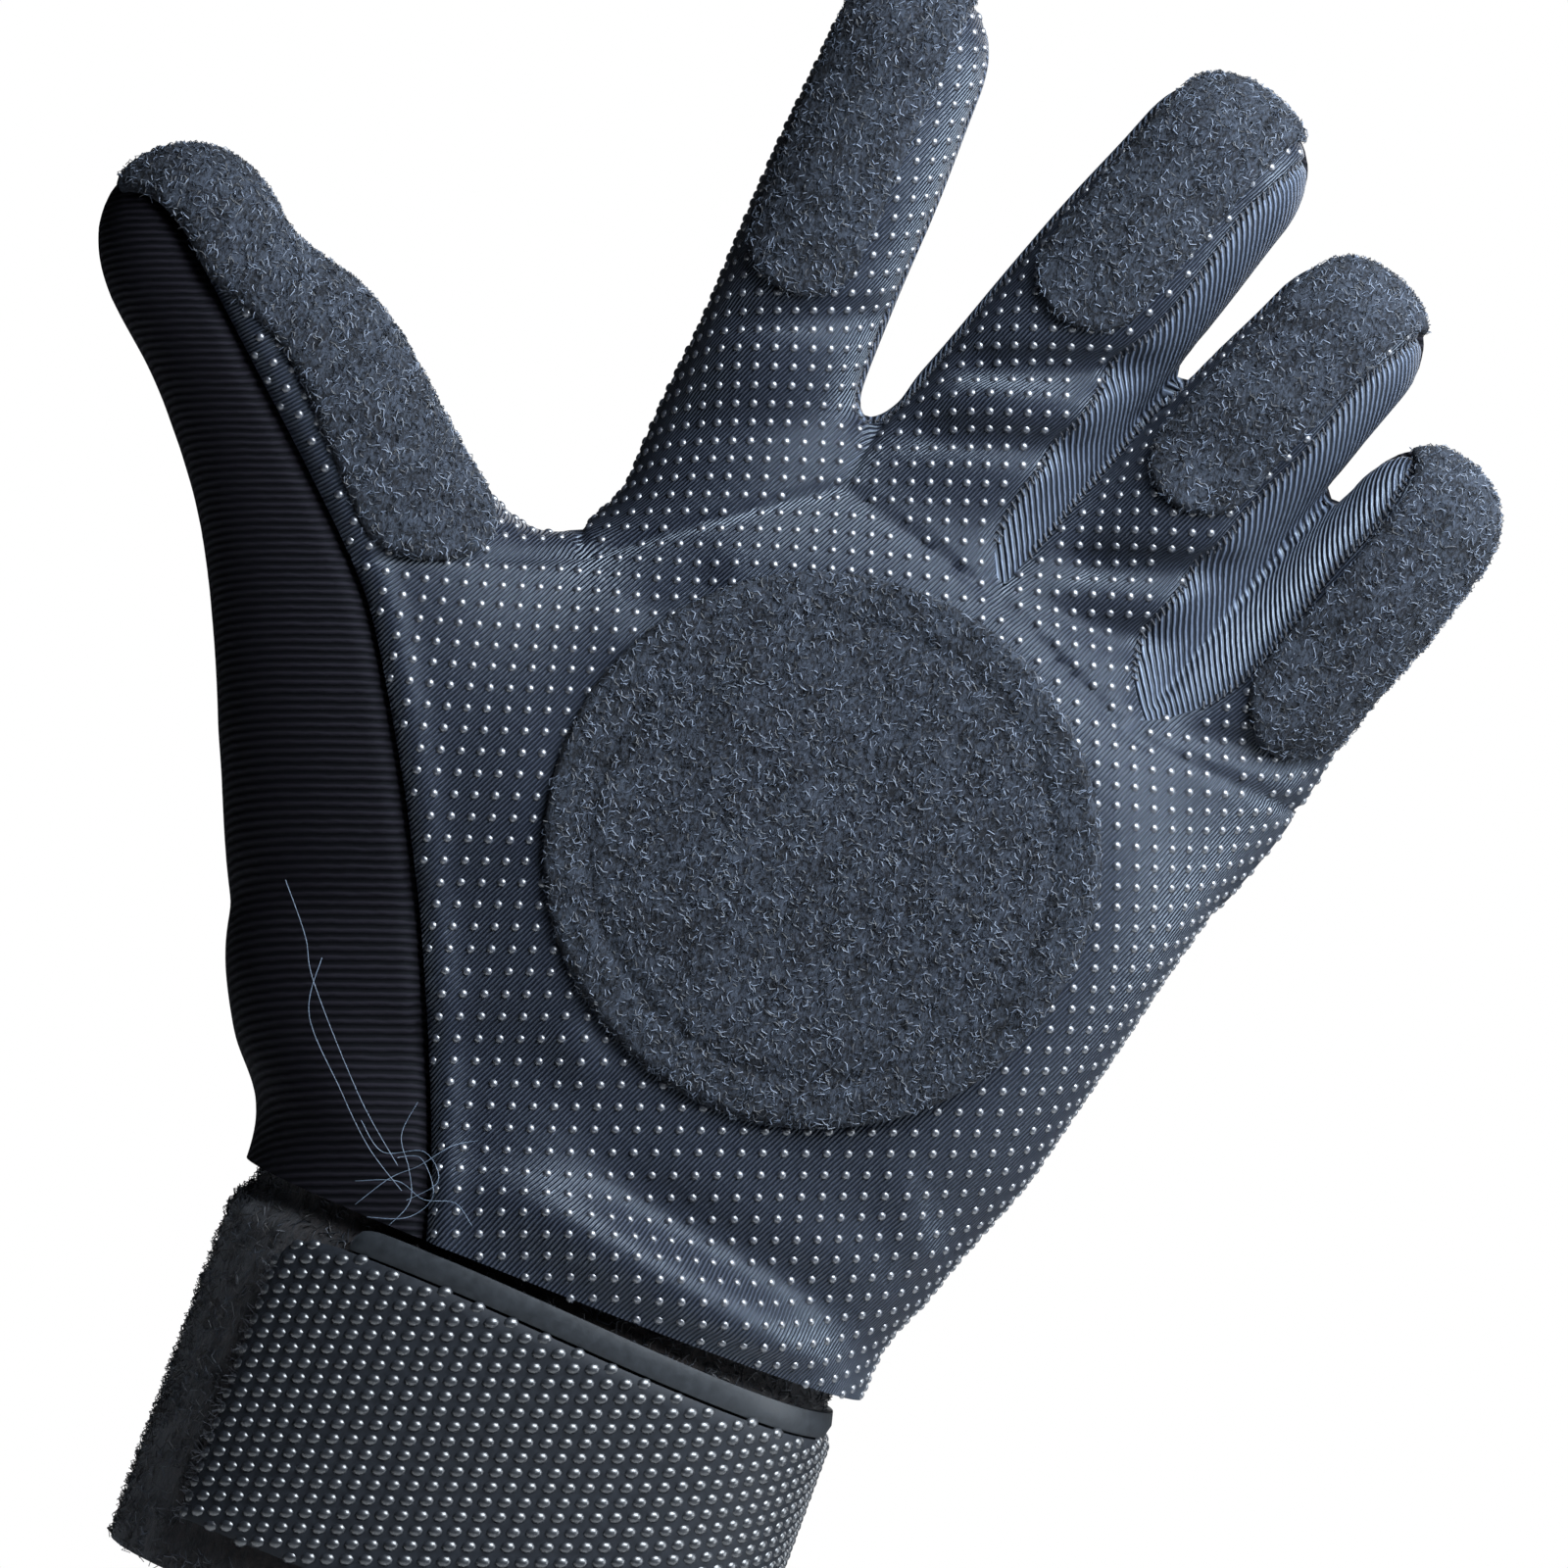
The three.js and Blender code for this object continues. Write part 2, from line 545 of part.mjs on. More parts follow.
// Pads
function digitPad(digit) {
  const rows = sectionsOf(digit);
  const stretch = digit.length - digit.tip;
  const half = digit.padWidth / 2;
  const turned = Math.cos(radians(digit.facing));
  const start = digit.padFrom * digit.length + half;
  const centre = (along) => (
    sectionAt(rows, 'along', Math.min(along / stretch, 1)).across * digit.breadth * turned + digit.padAside);
  const outline = [];
  for (let step = 0; step <= 2 * CORNER_STEPS; step += 1) {
    const angle = Math.PI * (1 + step / (2 * CORNER_STEPS));
    outline.push({ x: centre(start) + half * Math.cos(angle), z: start + half * Math.sin(angle) });
  }
  const farEnd = digit.length + 2 * digit.tip;
  outline.push({ x: centre(stretch) + half, z: stretch }, { x: centre(stretch) + half, z: farEnd });
  outline.push({ x: centre(stretch) - half, z: farEnd }, { x: centre(stretch) - half, z: stretch });
  const geometry = prism(outline, -FAR, FINGER_PAD_THICKNESS);
  const frame = digitFrame(digit, digit.facing);
  const cutter = geometry.transform(frame.elements);
  return digitForm(digit, SEAT_GAP + FINGER_PAD_THICKNESS).subtract(seat).intersect(cutter);
}

function palmPad() {
  const radius = PAD_DIAMETER / 2;
  const press = radius - PAD_PRESS_INSET;
  const profile = [new THREE.Vector2(0, -PAD_SUNK), new THREE.Vector2(radius, -PAD_SUNK)];
  for (let step = 0; step <= CORNER_STEPS; step += 1) {
    const angle = (step / CORNER_STEPS) * (Math.PI / 2);
    const out = radius - PAD_RIM * (1 - Math.cos(angle));
    profile.push(new THREE.Vector2(out, PAD_THICKNESS - PAD_RIM * (1 - Math.sin(angle))));
  }
  profile.push(
    new THREE.Vector2(press, PAD_THICKNESS),
    new THREE.Vector2(press - PAD_PRESS_WIDTH / 2, PAD_THICKNESS - PAD_PRESS_DEPTH),
    new THREE.Vector2(press - PAD_PRESS_WIDTH, PAD_THICKNESS),
    new THREE.Vector2(0, PAD_THICKNESS),
  );
  const geometry = new THREE.LatheGeometry(profile, PAD_SIDES);
  geometry.rotateX(Math.PI - radians(PAD_LEAN));
  geometry.translate(palmX(PAD_CENTRE.across), -PAD_CENTRE.front * PALM_DEPTH, palmZ(PAD_CENTRE.up));
  return toManifold(geometry).subtract(seat);
}

const shell = handForm(0).subtract(handForm(-WALL));
const seat = handForm(SEAT_GAP);
const front = withoutCrumbs(shell.intersect(frontMask(0)));
const grownFront = frontMask(SEAM_GAP);
const strips = CROTCHES_UP.map((unused, i) => (
  withoutCrumbs(shell.intersect(stripMask(i, 0)).subtract(grownFront))));
const grownStrips = united(CROTCHES_UP.map((unused, i) => stripMask(i, SEAM_GAP)));
const back = withoutCrumbs(shell.subtract(grownFront).subtract(grownStrips));

const NAVY = { color: 0x14161f, roughness: 0.55, metalness: 0 };
const BLACK = { color: 0x0a0a0e, roughness: 0.85, metalness: 0 };
const KNIT = { color: 0x171b26, roughness: 0.6, metalness: 0 };
const FELT = { color: 0x26282d, roughness: 1, metalness: 0 };
const PLASTIC = { color: 0x0d0e12, roughness: 0.35, metalness: 0 };
const TAPE = { color: 0x17181c, roughness: 0.5, metalness: 0 };

const glove = new THREE.Group();

function addPiece(name, solid, finish) {
  const mesh = new THREE.Mesh(toGeometry(solid), new THREE.MeshStandardMaterial(finish));
  mesh.name = name;
  glove.add(mesh);
}

addPiece('palm_panel', front, NAVY);
addPiece('back_panel', back, BLACK);
addPiece('side_strip_index_middle', strips[0], KNIT);
addPiece('side_strip_middle_ring', strips[1], KNIT);
addPiece('side_strip_ring_little', strips[2], KNIT);
addPiece('thumb_pad', digitPad(THUMB), FELT);
addPiece('index_pad', digitPad(INDEX), FELT);
addPiece('middle_pad', digitPad(MIDDLE), FELT);
addPiece('ring_pad', digitPad(RING), FELT);
addPiece('little_pad', digitPad(LITTLE), FELT);
addPiece('palm_pad', palmPad(), FELT);
addPiece('cuff_band', cuffBand(), BLACK);
addPiece('wrist_strap', bandRoundCuff(STRAP_FOOT, strapTop, STRAP_THICKNESS, STRAP_END, STRAP_CORNER),
  PLASTIC);
addPiece('strap_edge_tape', bandRoundCuff(tapeFoot, tapeTop, TAPE_THICKNESS, TAPE_END, TAPE_WIDTH), TAPE);

export default glove;
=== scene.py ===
"""Longboard slide glove: the fine cloth, pads, dots, strap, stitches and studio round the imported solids.

Lengths are metres. +Z runs up the hand, the palm faces -Y and the thumb points to -X.
"""

import json
import math

import bpy
import numpy as np
from bpy.props import FloatProperty, FloatVectorProperty, PointerProperty
from mathutils import Euler, Matrix, Vector, noise

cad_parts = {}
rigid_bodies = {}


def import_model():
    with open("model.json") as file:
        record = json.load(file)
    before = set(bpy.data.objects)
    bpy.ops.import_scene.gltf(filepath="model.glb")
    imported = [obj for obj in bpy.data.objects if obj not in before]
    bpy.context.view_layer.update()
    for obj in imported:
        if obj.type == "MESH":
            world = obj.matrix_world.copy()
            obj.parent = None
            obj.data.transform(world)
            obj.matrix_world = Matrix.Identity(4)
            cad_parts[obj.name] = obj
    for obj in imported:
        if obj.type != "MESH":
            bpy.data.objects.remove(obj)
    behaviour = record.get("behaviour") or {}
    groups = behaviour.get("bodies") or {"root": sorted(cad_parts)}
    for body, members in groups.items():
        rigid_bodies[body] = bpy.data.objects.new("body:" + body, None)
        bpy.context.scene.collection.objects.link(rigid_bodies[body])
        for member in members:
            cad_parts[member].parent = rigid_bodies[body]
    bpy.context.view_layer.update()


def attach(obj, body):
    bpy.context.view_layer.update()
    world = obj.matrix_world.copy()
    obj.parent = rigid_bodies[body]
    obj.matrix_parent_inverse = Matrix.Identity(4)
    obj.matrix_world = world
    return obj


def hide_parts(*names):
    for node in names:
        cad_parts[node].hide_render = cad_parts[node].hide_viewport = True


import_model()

bl_info = {
    "name": "Slide glove",
    "version": (1, 0, 0),
    "blender": (4, 5, 0),
    "location": "3D View > Sidebar > Slide glove",
    "description": "Builds the fine surface of a longboard slide glove round its packed solids",
    "category": "Add Mesh",
}

MM = 0.001

# Cuff, strap and hem
CUFF_BREADTH = 85.2 * MM
CUFF_DEPTH = 58 * MM
CUFF_SHIFT = -1.2 * MM
CUFF_SQUARE = 2.4
CUFF_TUCK = 4 * MM
CUFF_WALL = 2 * MM
TUCK_SLIMMING = 1.1 * MM
STRAP_FOOT = 4 * MM
STRAP_WIDTH = 41.2 * MM
STRAP_END = -35 * MM
STRAP_TAIL = -28 * MM
STRAP_CORNER = 9 * MM
TAPE_WIDTH = 3.5 * MM
TAPE_END = -26 * MM
SEAM_GAP = 0.3 * MM
SEAT_GAP = 0.3 * MM
HEM_HEIGHT = 52 * MM
HEM_RISE = 2.4 * MM
HEM_EASE = 1.6 * MM
HEM_EASE_DEEP = 0.75 * MM
HEM_SHIFT = 1 * MM
HEM_WALL = 1.8 * MM

# Palm
PALM_LENGTH = 97 * MM
PALM_BREADTH = 104 * MM
PALM_DEPTH = 42 * MM
PALM_COLUMNS = ("up", "rise", "hem", "left", "right", "front", "back", "square")
PALM_SECTIONS = [
    (0, 0, 1, 0.43, 0.44, 0.72, 0.72, 2.4),
    (0.075, 0, 0.75, 0.47, 0.46, 0.72, 0.72, 2.4),
    (0.15, 0, 0.25, 0.51, 0.485, 0.65, 0.63, 2.6),
    (0.25, 0.01, 0, 0.54, 0.507, 0.6, 0.56, 2.9),
    (0.37, 0.01, 0, 0.55, 0.55, 0.565, 0.52, 3.3),
    (0.52, 0.02, 0, 0.49, 0.583, 0.54, 0.48, 3.6),
    (0.68, 0.04, 0, 0.425, 0.62, 0.515, 0.455, 3.8),
    (0.81, 0.07, 0, 0.345, 0.655, 0.49, 0.42, 3.6),
    (0.92, 0.11, 0, 0.272, 0.69, 0.455, 0.36, 3.1),
    (1, 0.16, 0, 0.205, 0.695, 0.37, 0.25, 2.6),
]

# Digits: roots in shares of the palm, lengths in metres, angles in degrees
THUMB = {
    "root_across": -0.24, "root_up": 0.369, "length": 118.2 * MM, "breadth": 35.6 * MM,
    "depth": 27 * MM, "tilt": -41, "lean": 9, "facing": 48, "pad_from": 0.46,
    "pad_width": 18.5 * MM, "pad_aside": 1.7 * MM, "tip": 15 * MM, "taper": 0,
}
INDEX = {
    "root_across": -0.133, "root_up": 0.907, "length": 96.6 * MM, "breadth": 23.8 * MM,
    "depth": 23.5 * MM, "tilt": 2.4, "lean": 3, "facing": -4, "pad_from": 0.515,
    "pad_width": 14.8 * MM, "pad_aside": -1.8 * MM, "tip": 13 * MM, "taper": 0,
}
MIDDLE = {
    "root_across": 0.056, "root_up": 0.943, "length": 98.2 * MM, "breadth": 26.6 * MM,
    "depth": 24 * MM, "tilt": 19.3, "lean": 3, "facing": -12, "pad_from": 0.585,
    "pad_width": 15.2 * MM, "pad_aside": -0.9 * MM, "tip": 13 * MM, "taper": 0,
}
RING = {
    "root_across": 0.316, "root_up": 0.951, "length": 80.1 * MM, "breadth": 25 * MM,
    "depth": 23.5 * MM, "tilt": 21.5, "lean": 4, "facing": -20, "pad_from": 0.475,
    "pad_width": 13.8 * MM, "pad_aside": 0.9 * MM, "tip": 12.5 * MM, "taper": 0.03,
}
LITTLE = {
    "root_across": 0.555, "root_up": 0.871, "length": 66.2 * MM, "breadth": 24.4 * MM,
    "depth": 21.5 * MM, "tilt": 19.5, "lean": 6, "facing": 26, "pad_from": 0.3,
    "pad_width": 15.7 * MM, "pad_aside": 0.2 * MM, "tip": 12 * MM, "taper": 0.12,
}
FINGERS = [INDEX, MIDDLE, RING, LITTLE]
DIGITS = [THUMB, *FINGERS]
DIGIT_NAMES = ["thumb", "index", "middle", "ring", "little"]
DIGIT_SQUARE = 2.25
DOME_SQUARE = 2.3

DIGIT_COLUMNS = ("along", "across", "breadth", "front", "back")
FINGER_SECTIONS = [
    (0, 0, 1.02, 1.22, 1.16),
    (0.2, -0.02, 1.09, 1.16, 1.12),
    (0.36, -0.03, 1.07, 1.02, 1.08),
    (0.5, -0.03, 1, 1.08, 1.03),
    (0.66, -0.03, 0.985, 0.97, 1.04),
    (0.82, -0.02, 0.98, 1.02, 0.98),
    (1, -0.01, 0.93, 0.95, 0.93),
]
THUMB_SECTIONS = [
    (0, 0.06, 1.7, 1.45, 1.2),
    (0.2, 0.18, 1.8, 1.5, 1.28),
    (0.42, 0.235, 1.53, 1.3, 1.25),
    (0.57, 0.2, 1.2, 1.08, 1.12),
    (0.72, 0.2, 1, 0.98, 1),
    (0.87, 0.17, 0.875, 0.93, 0.9),
    (1, 0.045, 0.7, 0.82, 0.8),
]

# Folds in the cloth: side, across, up, to_across, to_up, rise, spread. side is -1 for the palm and
# 1 for the back; ends are shares of the palm's breadth and length, rise and spread of its depth. A
# negative rise is a valley.
HAND_FOLDS = [
    (-1, -0.1, 0.12, 0.37, 0.035, 0.065, 0.11),
    (-1, -0.02, 0.19, 0.4, 0.11, -0.055, 0.1),
    (-1, -0.17, 0.05, -0.26, 0.32, -0.05, 0.26),
    (-1, -0.1, 0.36, -0.02, 0.3, 0.02, 0.06),
    (-1, 0.36, 0.34, 0.47, 0.2, 0.02, 0.07),
    (-1, -0.2, 0.9, -0.09, 1.02, -0.03, 0.09),
    (1, -0.3, 0.1, 0.3, 0.13, -0.03, 0.1),
    (1, -0.25, 0.2, 0.35, 0.17, 0.025, 0.1),
    (1, -0.15, 0.55, 0.1, 0.75, -0.02, 0.14),
    (1, 0.2, 0.5, 0.42, 0.78, -0.02, 0.14),
]

# Creases across a digit: digit, side, along, sink, spread, slant. side is -1 for its front and 1 for
# its back, along is a share of its length and slant is the rise across its breadth.
CREASES = [
    (1, -1, 0.33, 0.8 * MM, 4 * MM, 0.4),
    (1, -1, 0.49, 1.2 * MM, 2.6 * MM, 0.4),
    (2, -1, 0.53, 2.6 * MM, 3.2 * MM, 0.7),
    (2, -1, 0.4, 1.7 * MM, 3 * MM, 0.6),
    (3, -1, 0.37, 2.4 * MM, 3.2 * MM, 0.7),
    (3, -1, 0.235, 1.6 * MM, 3 * MM, 0.5),
    (4, -1, 0.27, 1.9 * MM, 3 * MM, 0.6),
    (0, -1, 0.5, 0.6 * MM, 4 * MM, 0),
    (0, 1, 0.56, 0.8 * MM, 3 * MM, 0),
    (0, 1, 0.63, 0.6 * MM, 3 * MM, 0),
    (1, 1, 0.45, 0.9 * MM, 3 * MM, 0),
    (1, 1, 0.55, 0.7 * MM, 3 * MM, 0),
    (2, 1, 0.47, 0.9 * MM, 3 * MM, 0),
    (2, 1, 0.57, 0.7 * MM, 3 * MM, 0),
    (3, 1, 0.45, 0.9 * MM, 3 * MM, 0),
    (3, 1, 0.57, 0.7 * MM, 3 * MM, 0),
    (4, 1, 0.42, 0.9 * MM, 3 * MM, 0),
    (4, 1, 0.55, 0.7 * MM, 3 * MM, 0),
]

# Seam between the palm and the side of the thumb, as shares of the palm, then of the thumb
SIDE_SEAM = [
    (-0.16, 0.02), (-0.19, 0.121), (-0.226, 0.223), (-0.301, 0.41), (-0.387, 0.593), (-0.492, 0.784),
    (-0.552, 0.862),
]
THUMB_SEAM = [(0.6, 0.165), (0.73, 0.12), (0.86, 0.075), (0.94, 0.04), (1.04, -0.02)]

# Where neighbouring digits part
WEB_UP = 0.975
WEB_ASIDE = 0.62
WEB_SLOPE = (-0.45, 0.89)
ULNAR_SLOPE = (1, 0.3)
CROTCHES_UP = [1.225, 1.15, 1.035]
ULNAR_UP = 0.96
CROTCH_DROP = 3.5 * MM

# Seams along the fingers
STRIP_HALF_WIDTH = 6.2 * MM
STRIP_WRAPS = (0, 2.2 * MM, 1.6 * MM)
STRIP_TAPER = 15 * MM
STRIP_STOP = 3 * MM
INDEX_WRAP = 4 * MM
INDEX_SEAM = 1.5 * MM
THUMB_WRAP = 5 * MM
EDGE_WRAP = 1.5 * MM
FAR = 0.4
LAP = 0.05 * MM

# Palm pad
PAD_DIAMETER = 74.5 * MM
PAD_THICKNESS = 3.2 * MM
PAD_RIM = 1.1 * MM
PAD_LEAN = 5
PAD_PRESS_INSET = 5.5 * MM
PAD_PRESS_WIDTH = 1.6 * MM
PAD_PRESS_DEPTH = 0.5 * MM
PAD_CENTRE = (0.145, 0.703, 0.505)

# Strap's lift towards its end, and its knobs
STRAP_LIFT = 3.5 * MM
BAND_EDGE = 0.45 * MM
KNOB_ASIDE = 2.45 * MM
KNOB_SHIFT = 0.4
KNOB_WIDTH = 0.88 * MM
KNOB_HEIGHT = 0.56 * MM
KNOB_STRETCH = 1.3
FRAY_THREADS = 160

# Seams: how far the cloth's edge sinks in, and the swelling and the groove beside the thumb's seam
SEAM_SINK = 0.75 * MM
SEAM_SPREAD = 0.8 * MM
CREST_RISE = 0.9 * MM
CREST_AWAY = 2.4 * MM
CREST_SPREAD = 1.8 * MM
GROOVE_SINK = 1.6 * MM
GROOVE_SPREAD = 1.4 * MM
PAD_SWELLING = 1.3 * MM
STITCH_SINK = 0.45 * MM

# Fineness of the meshes
VOXEL = 1.2 * MM
SMOOTHINGS = 4
SNAP = 0.15
EASE_REACH = 17 * MM
EASE_ROUNDS = 140
UNROLL_ROUNDS = 500
PALM_GRID = (72, 180)
DIGIT_GRID = (90, 14, 72)
PAD_GRID = (58, 300)
CUFF_GRID = (46, 220)
OUTLINE_STEPS = 1200

# How much the tone of a woven cloth changes over the glove
CLOTH_WEAR = 0.35

# Loops of the pile to a square metre
FINGER_PILE = 1.9e6
PALM_PILE = 2.2e6
CUFF_PILE = 0.9e6

# Numbers that mark the faces of the palm and the back; the strips have 1 to 3
PALM, BACK = 0, 4


def length_property(name, description, default, low, high=1000):
    """A length, given in millimetres."""
    return FloatProperty(
        name=name, description=description, default=default * MM, min=low * MM, max=high * MM, unit="LENGTH")


class GloveSizes(bpy.types.PropertyGroup):
    """Sizes that a user would change."""

    cloth_wall: length_property("Cloth thickness", "Thickness of the cloth panels", 1.7, 0.5, 3)
    twill_pitch: length_property("Twill pitch", "Distance between the lines of the palm's twill", 0.52, 0.2)
    rib_pitch: length_property("Rib pitch", "Distance between the ribs of the finger strips", 0.85, 0.3)
    back_rib_pitch: length_property("Back rib pitch", "Distance between the back cloth's ribs", 1.05, 0.3)
    dot_pitch: length_property("Dot pitch", "Distance between neighbouring grip dots", 2.65, 1.5)
    dot_diameter: length_property("Dot diameter", "Width of a grip dot", 1.3, 0.3)
    dot_height: length_property("Dot height", "How far a grip dot stands off the cloth", 0.36, 0.1)
    pad_thickness: length_property("Finger pad thickness", "Thickness of the loop pads", 1.8, 0.5, 2.2)
    loop_height: length_property("Pile height", "How far the loops of the pile stand up", 0.42, 0.1)
    loop_thickness: length_property("Loop thread", "Thickness of a loop's thread", 0.14, 0.03)
    strap_thickness: length_property("Strap thickness", "Thickness of the strap without its knobs", 2, 1)
    knob_pitch: length_property("Knob pitch", "Distance between knobs across the strap's width", 2.1, 1)
    tape_thickness: length_property("Tape thickness", "Thickness of the strap's edge tape", 1.6, 0.5)
    stitch_pitch: length_property("Stitch pitch", "Distance between the stitches of the seams", 1.05, 0.5)
    thread_diameter: length_property("Thread", "Thickness of the sewing thread", 0.3, 0.1)


def colour_property(name, description, default):
    return FloatVectorProperty(
        name=name, description=description, default=(*default, 1), subtype="COLOR", size=4, min=0, max=1)


class GloveColours(bpy.types.PropertyGroup):
    """Colours that a user would change."""

    # The twill's line colour is a painted satin highlight, and its gap colour is painted shade between the
    # lines.
    twill: colour_property("Twill", "Lit lines of the palm's twill", (0.019, 0.023, 0.034))
    shaded_twill_gap: colour_property("Twill gap", "Gaps between the twill's lines", (0.002, 0.0025, 0.005))
    dot: colour_property("Dots", "Grip dots on the palm", (0.012, 0.014, 0.02))
    back: colour_property("Back cloth", "Cloth of the back and the thumb's side", (0.0045, 0.004, 0.0055))
    # The strips' rib colour is partly their own and partly painted light: made lighter for the light falling
    # on their sides.
    lit_knit: colour_property("Ribbed strips", "Ribs between the fingers", (0.052, 0.064, 0.092))
    felt_light: colour_property("Felt, light", "Lighter fibres of the loop pads", (0.058, 0.072, 0.1))
    felt_dark: colour_property("Felt, dark", "Darker fibres of the loop pads", (0.0025, 0.003, 0.0045))
    # Partly the cuff's own black: darkened further as painted shade and tinted brown as a painted cast of the
    # back light.
    cuff: colour_property("Cuff", "Loop cloth of the cuff", (0.0045, 0.003, 0.0025))
    strap: colour_property("Strap", "Embossed face of the strap", (0.006, 0.007, 0.009))
    tape: colour_property("Tape", "Smooth edge of the strap", (0.009, 0.0105, 0.0125))
    thread: colour_property("Thread", "Sewing thread", (0.012, 0.013, 0.017))
    loose_thread: colour_property("Loose threads", "Stray threads on the face", (0.05, 0.068, 0.095))
    floor: colour_property("Floor", "Studio floor", (0.8, 0.8, 0.8))


def sizes():
    return bpy.context.scene.glove_sizes


def colours():
    return bpy.context.scene.glove_colours


def mm_step(low, high, value):
    """0 below low, 1 above high and smooth between."""
    share = np.clip((value - low) / (high - low), 0, 1)
    return share * share * (3 - 2 * share)


def bell(value, spread):
    """1 where the value is 0, falling smoothly to both sides."""
    return np.exp(-((value / spread) ** 2))


def signed_power(value, power):
    return np.sign(value) * np.abs(value) ** power


def unit(vectors):
    return vectors / np.maximum(np.linalg.norm(vectors, axis=-1, keepdims=True), 1e-12)


def in_surface(vectors, normals):
    """Unit vectors with the part that points out of the surface taken away."""
    return unit(vectors - (vectors * normals).sum(1)[:, None] * normals)


def angles_round(sides):
    return np.linspace(0, 2 * np.pi, sides, endpoint=False)


def curve_through(rows, columns, places):
    """Columns of a table at places between its rows, on a smooth curve; the first column is the key."""
    table = np.array(rows, float)
    after = np.clip(np.searchsorted(table[:, 0], places, side="left"), 1, len(table) - 1)
    p0, p1, p2, p3 = (table[np.clip(after + k, 0, len(table) - 1)] for k in (-2, -1, 0, 1))
    t = ((places - p1[:, 0]) / (p2[:, 0] - p1[:, 0]))[:, None]
    slope, next_slope, rise = (p2 - p0) / 2, (p3 - p1) / 2, p2 - p1
    square, cube = 3 * rise - 2 * slope - next_slope, slope + next_slope - 2 * rise
    found = p1 + slope * t + square * t**2 + cube * t**3
    found[:, 0] = places
    return {name: found[:, i] for i, name in enumerate(columns)}


def palm_x(share):
    return share * PALM_BREADTH


def palm_z(share):
    return HEM_HEIGHT + share * PALM_LENGTH


def rounded_outline(angles, half_breadth, front, back, square):
    across = signed_power(np.cos(angles), 2 / square) * half_breadth
    outward = signed_power(np.sin(angles), 2 / square)
    return across, outward * np.where(outward < 0, front, back)


def flat_grid(rows, columns):
    """The row's and the column's value at each place of a grid, row by row."""
    return (grid.ravel() for grid in np.meshgrid(rows, columns, indexing="ij"))


def ring_faces(levels, sides):
    """Triangles between neighbouring rings of points."""
    level, side = flat_grid(np.arange(levels - 1), np.arange(sides))
    a, b = level * sides + side, level * sides + (side + 1) % sides
    return np.concatenate([np.stack([a, b, b + sides], 1), np.stack([a, b + sides, a + sides], 1)])


def lofted(rings):
    """Points and triangles of a closed solid through rings of points, with a fan at each end."""
    levels, sides, _ = rings.shape
    points = np.concatenate([rings.reshape(-1, 3), rings[:1].mean(1), rings[-1:].mean(1)])
    side, after = np.arange(sides), (np.arange(sides) + 1) % sides
    foot, head, last = levels * sides, levels * sides + 1, (levels - 1) * sides
    faces = np.concatenate([
        ring_faces(levels, sides),
        np.stack([np.full(sides, foot), after, side], 1),
        np.stack([np.full(sides, head), last + side, last + after], 1),
    ])
    return points, faces


def joined(shapes):
    """Several (points, faces) as one."""
    counts = np.cumsum([0] + [len(points) for points, _ in shapes])
    points = np.concatenate([points for points, _ in shapes])
    faces = np.concatenate([faces + start for (_, faces), start in zip(shapes, counts)])
    return points, faces


def repeated(points, faces):
    """One mesh of many alike shapes: a row of points for each, and the faces that they all have."""
    starts = np.arange(len(points)) * points.shape[1]
    return points.reshape(-1, 3), (faces + starts[:, None, None]).reshape(-1, 3)


def walked_along(x, y):
    """The way walked from the first point of a line to each of its points."""
    return np.concatenate([[0], np.cumsum(np.hypot(np.diff(x), np.diff(y)))])


# Hand

def palm_shape():
    levels, sides = PALM_GRID
    below = 8 * MM
    rows = curve_through(PALM_SECTIONS, PALM_COLUMNS, np.concatenate([[0], np.linspace(0, 1, levels)]))
    rows = {name: column[:, None] for name, column in rows.items()}
    lift = np.zeros((levels + 1, 1))
    lift[0] = -below
    slim_breadth, slim_depth = CUFF_BREADTH / 2 - TUCK_SLIMMING, CUFF_DEPTH / 2 - TUCK_SLIMMING
    hem_breadth = slim_breadth + HEM_EASE + HEM_WALL
    hem_depth = slim_depth + HEM_EASE_DEEP + HEM_WALL

    def mix(at_hem, above):
        return at_hem * rows["hem"] + above * (1 - rows["hem"])

    left = mix(HEM_SHIFT - hem_breadth, -palm_x(rows["left"]))
    right = mix(HEM_SHIFT + hem_breadth, palm_x(rows["right"]))
    front = mix(hem_depth, rows["front"] * PALM_DEPTH)
    back = mix(hem_depth, rows["back"] * PALM_DEPTH)
    rise = HEM_RISE + rows["rise"] * PALM_LENGTH
    angles = angles_round(sides)[None]
    across, deep = rounded_outline(angles, (right - left) / 2, front, back, rows["square"])
    x = (left + right) / 2 + across
    z = palm_z(rows["up"]) + lift + rise * (right - x) / (right - left)
    return lofted(np.stack([x, deep, z], axis=2))


def digit_matrix(digit, turn=0.0):
    """A digit's turning, with a further turn about its own length in degrees, and its root."""
    leaning = Euler((math.radians(digit["lean"]), 0, 0)).to_matrix()
    turned = leaning @ Euler((0, 0, math.radians(turn))).to_matrix()
    turned = Euler((0, math.radians(digit["tilt"]), 0)).to_matrix() @ turned
    root = Vector((palm_x(digit["root_across"]), 0, palm_z(digit["root_up"])))
    return np.array(turned), np.array(root)


def to_digit(points, digit, turn=0.0):
    """Points in a digit's own frame: across it, to its back, along it."""
    turned, root = digit_matrix(digit, turn)
    return (points - root) @ turned


def sections_of(digit):
    return THUMB_SECTIONS if digit is THUMB else FINGER_SECTIONS


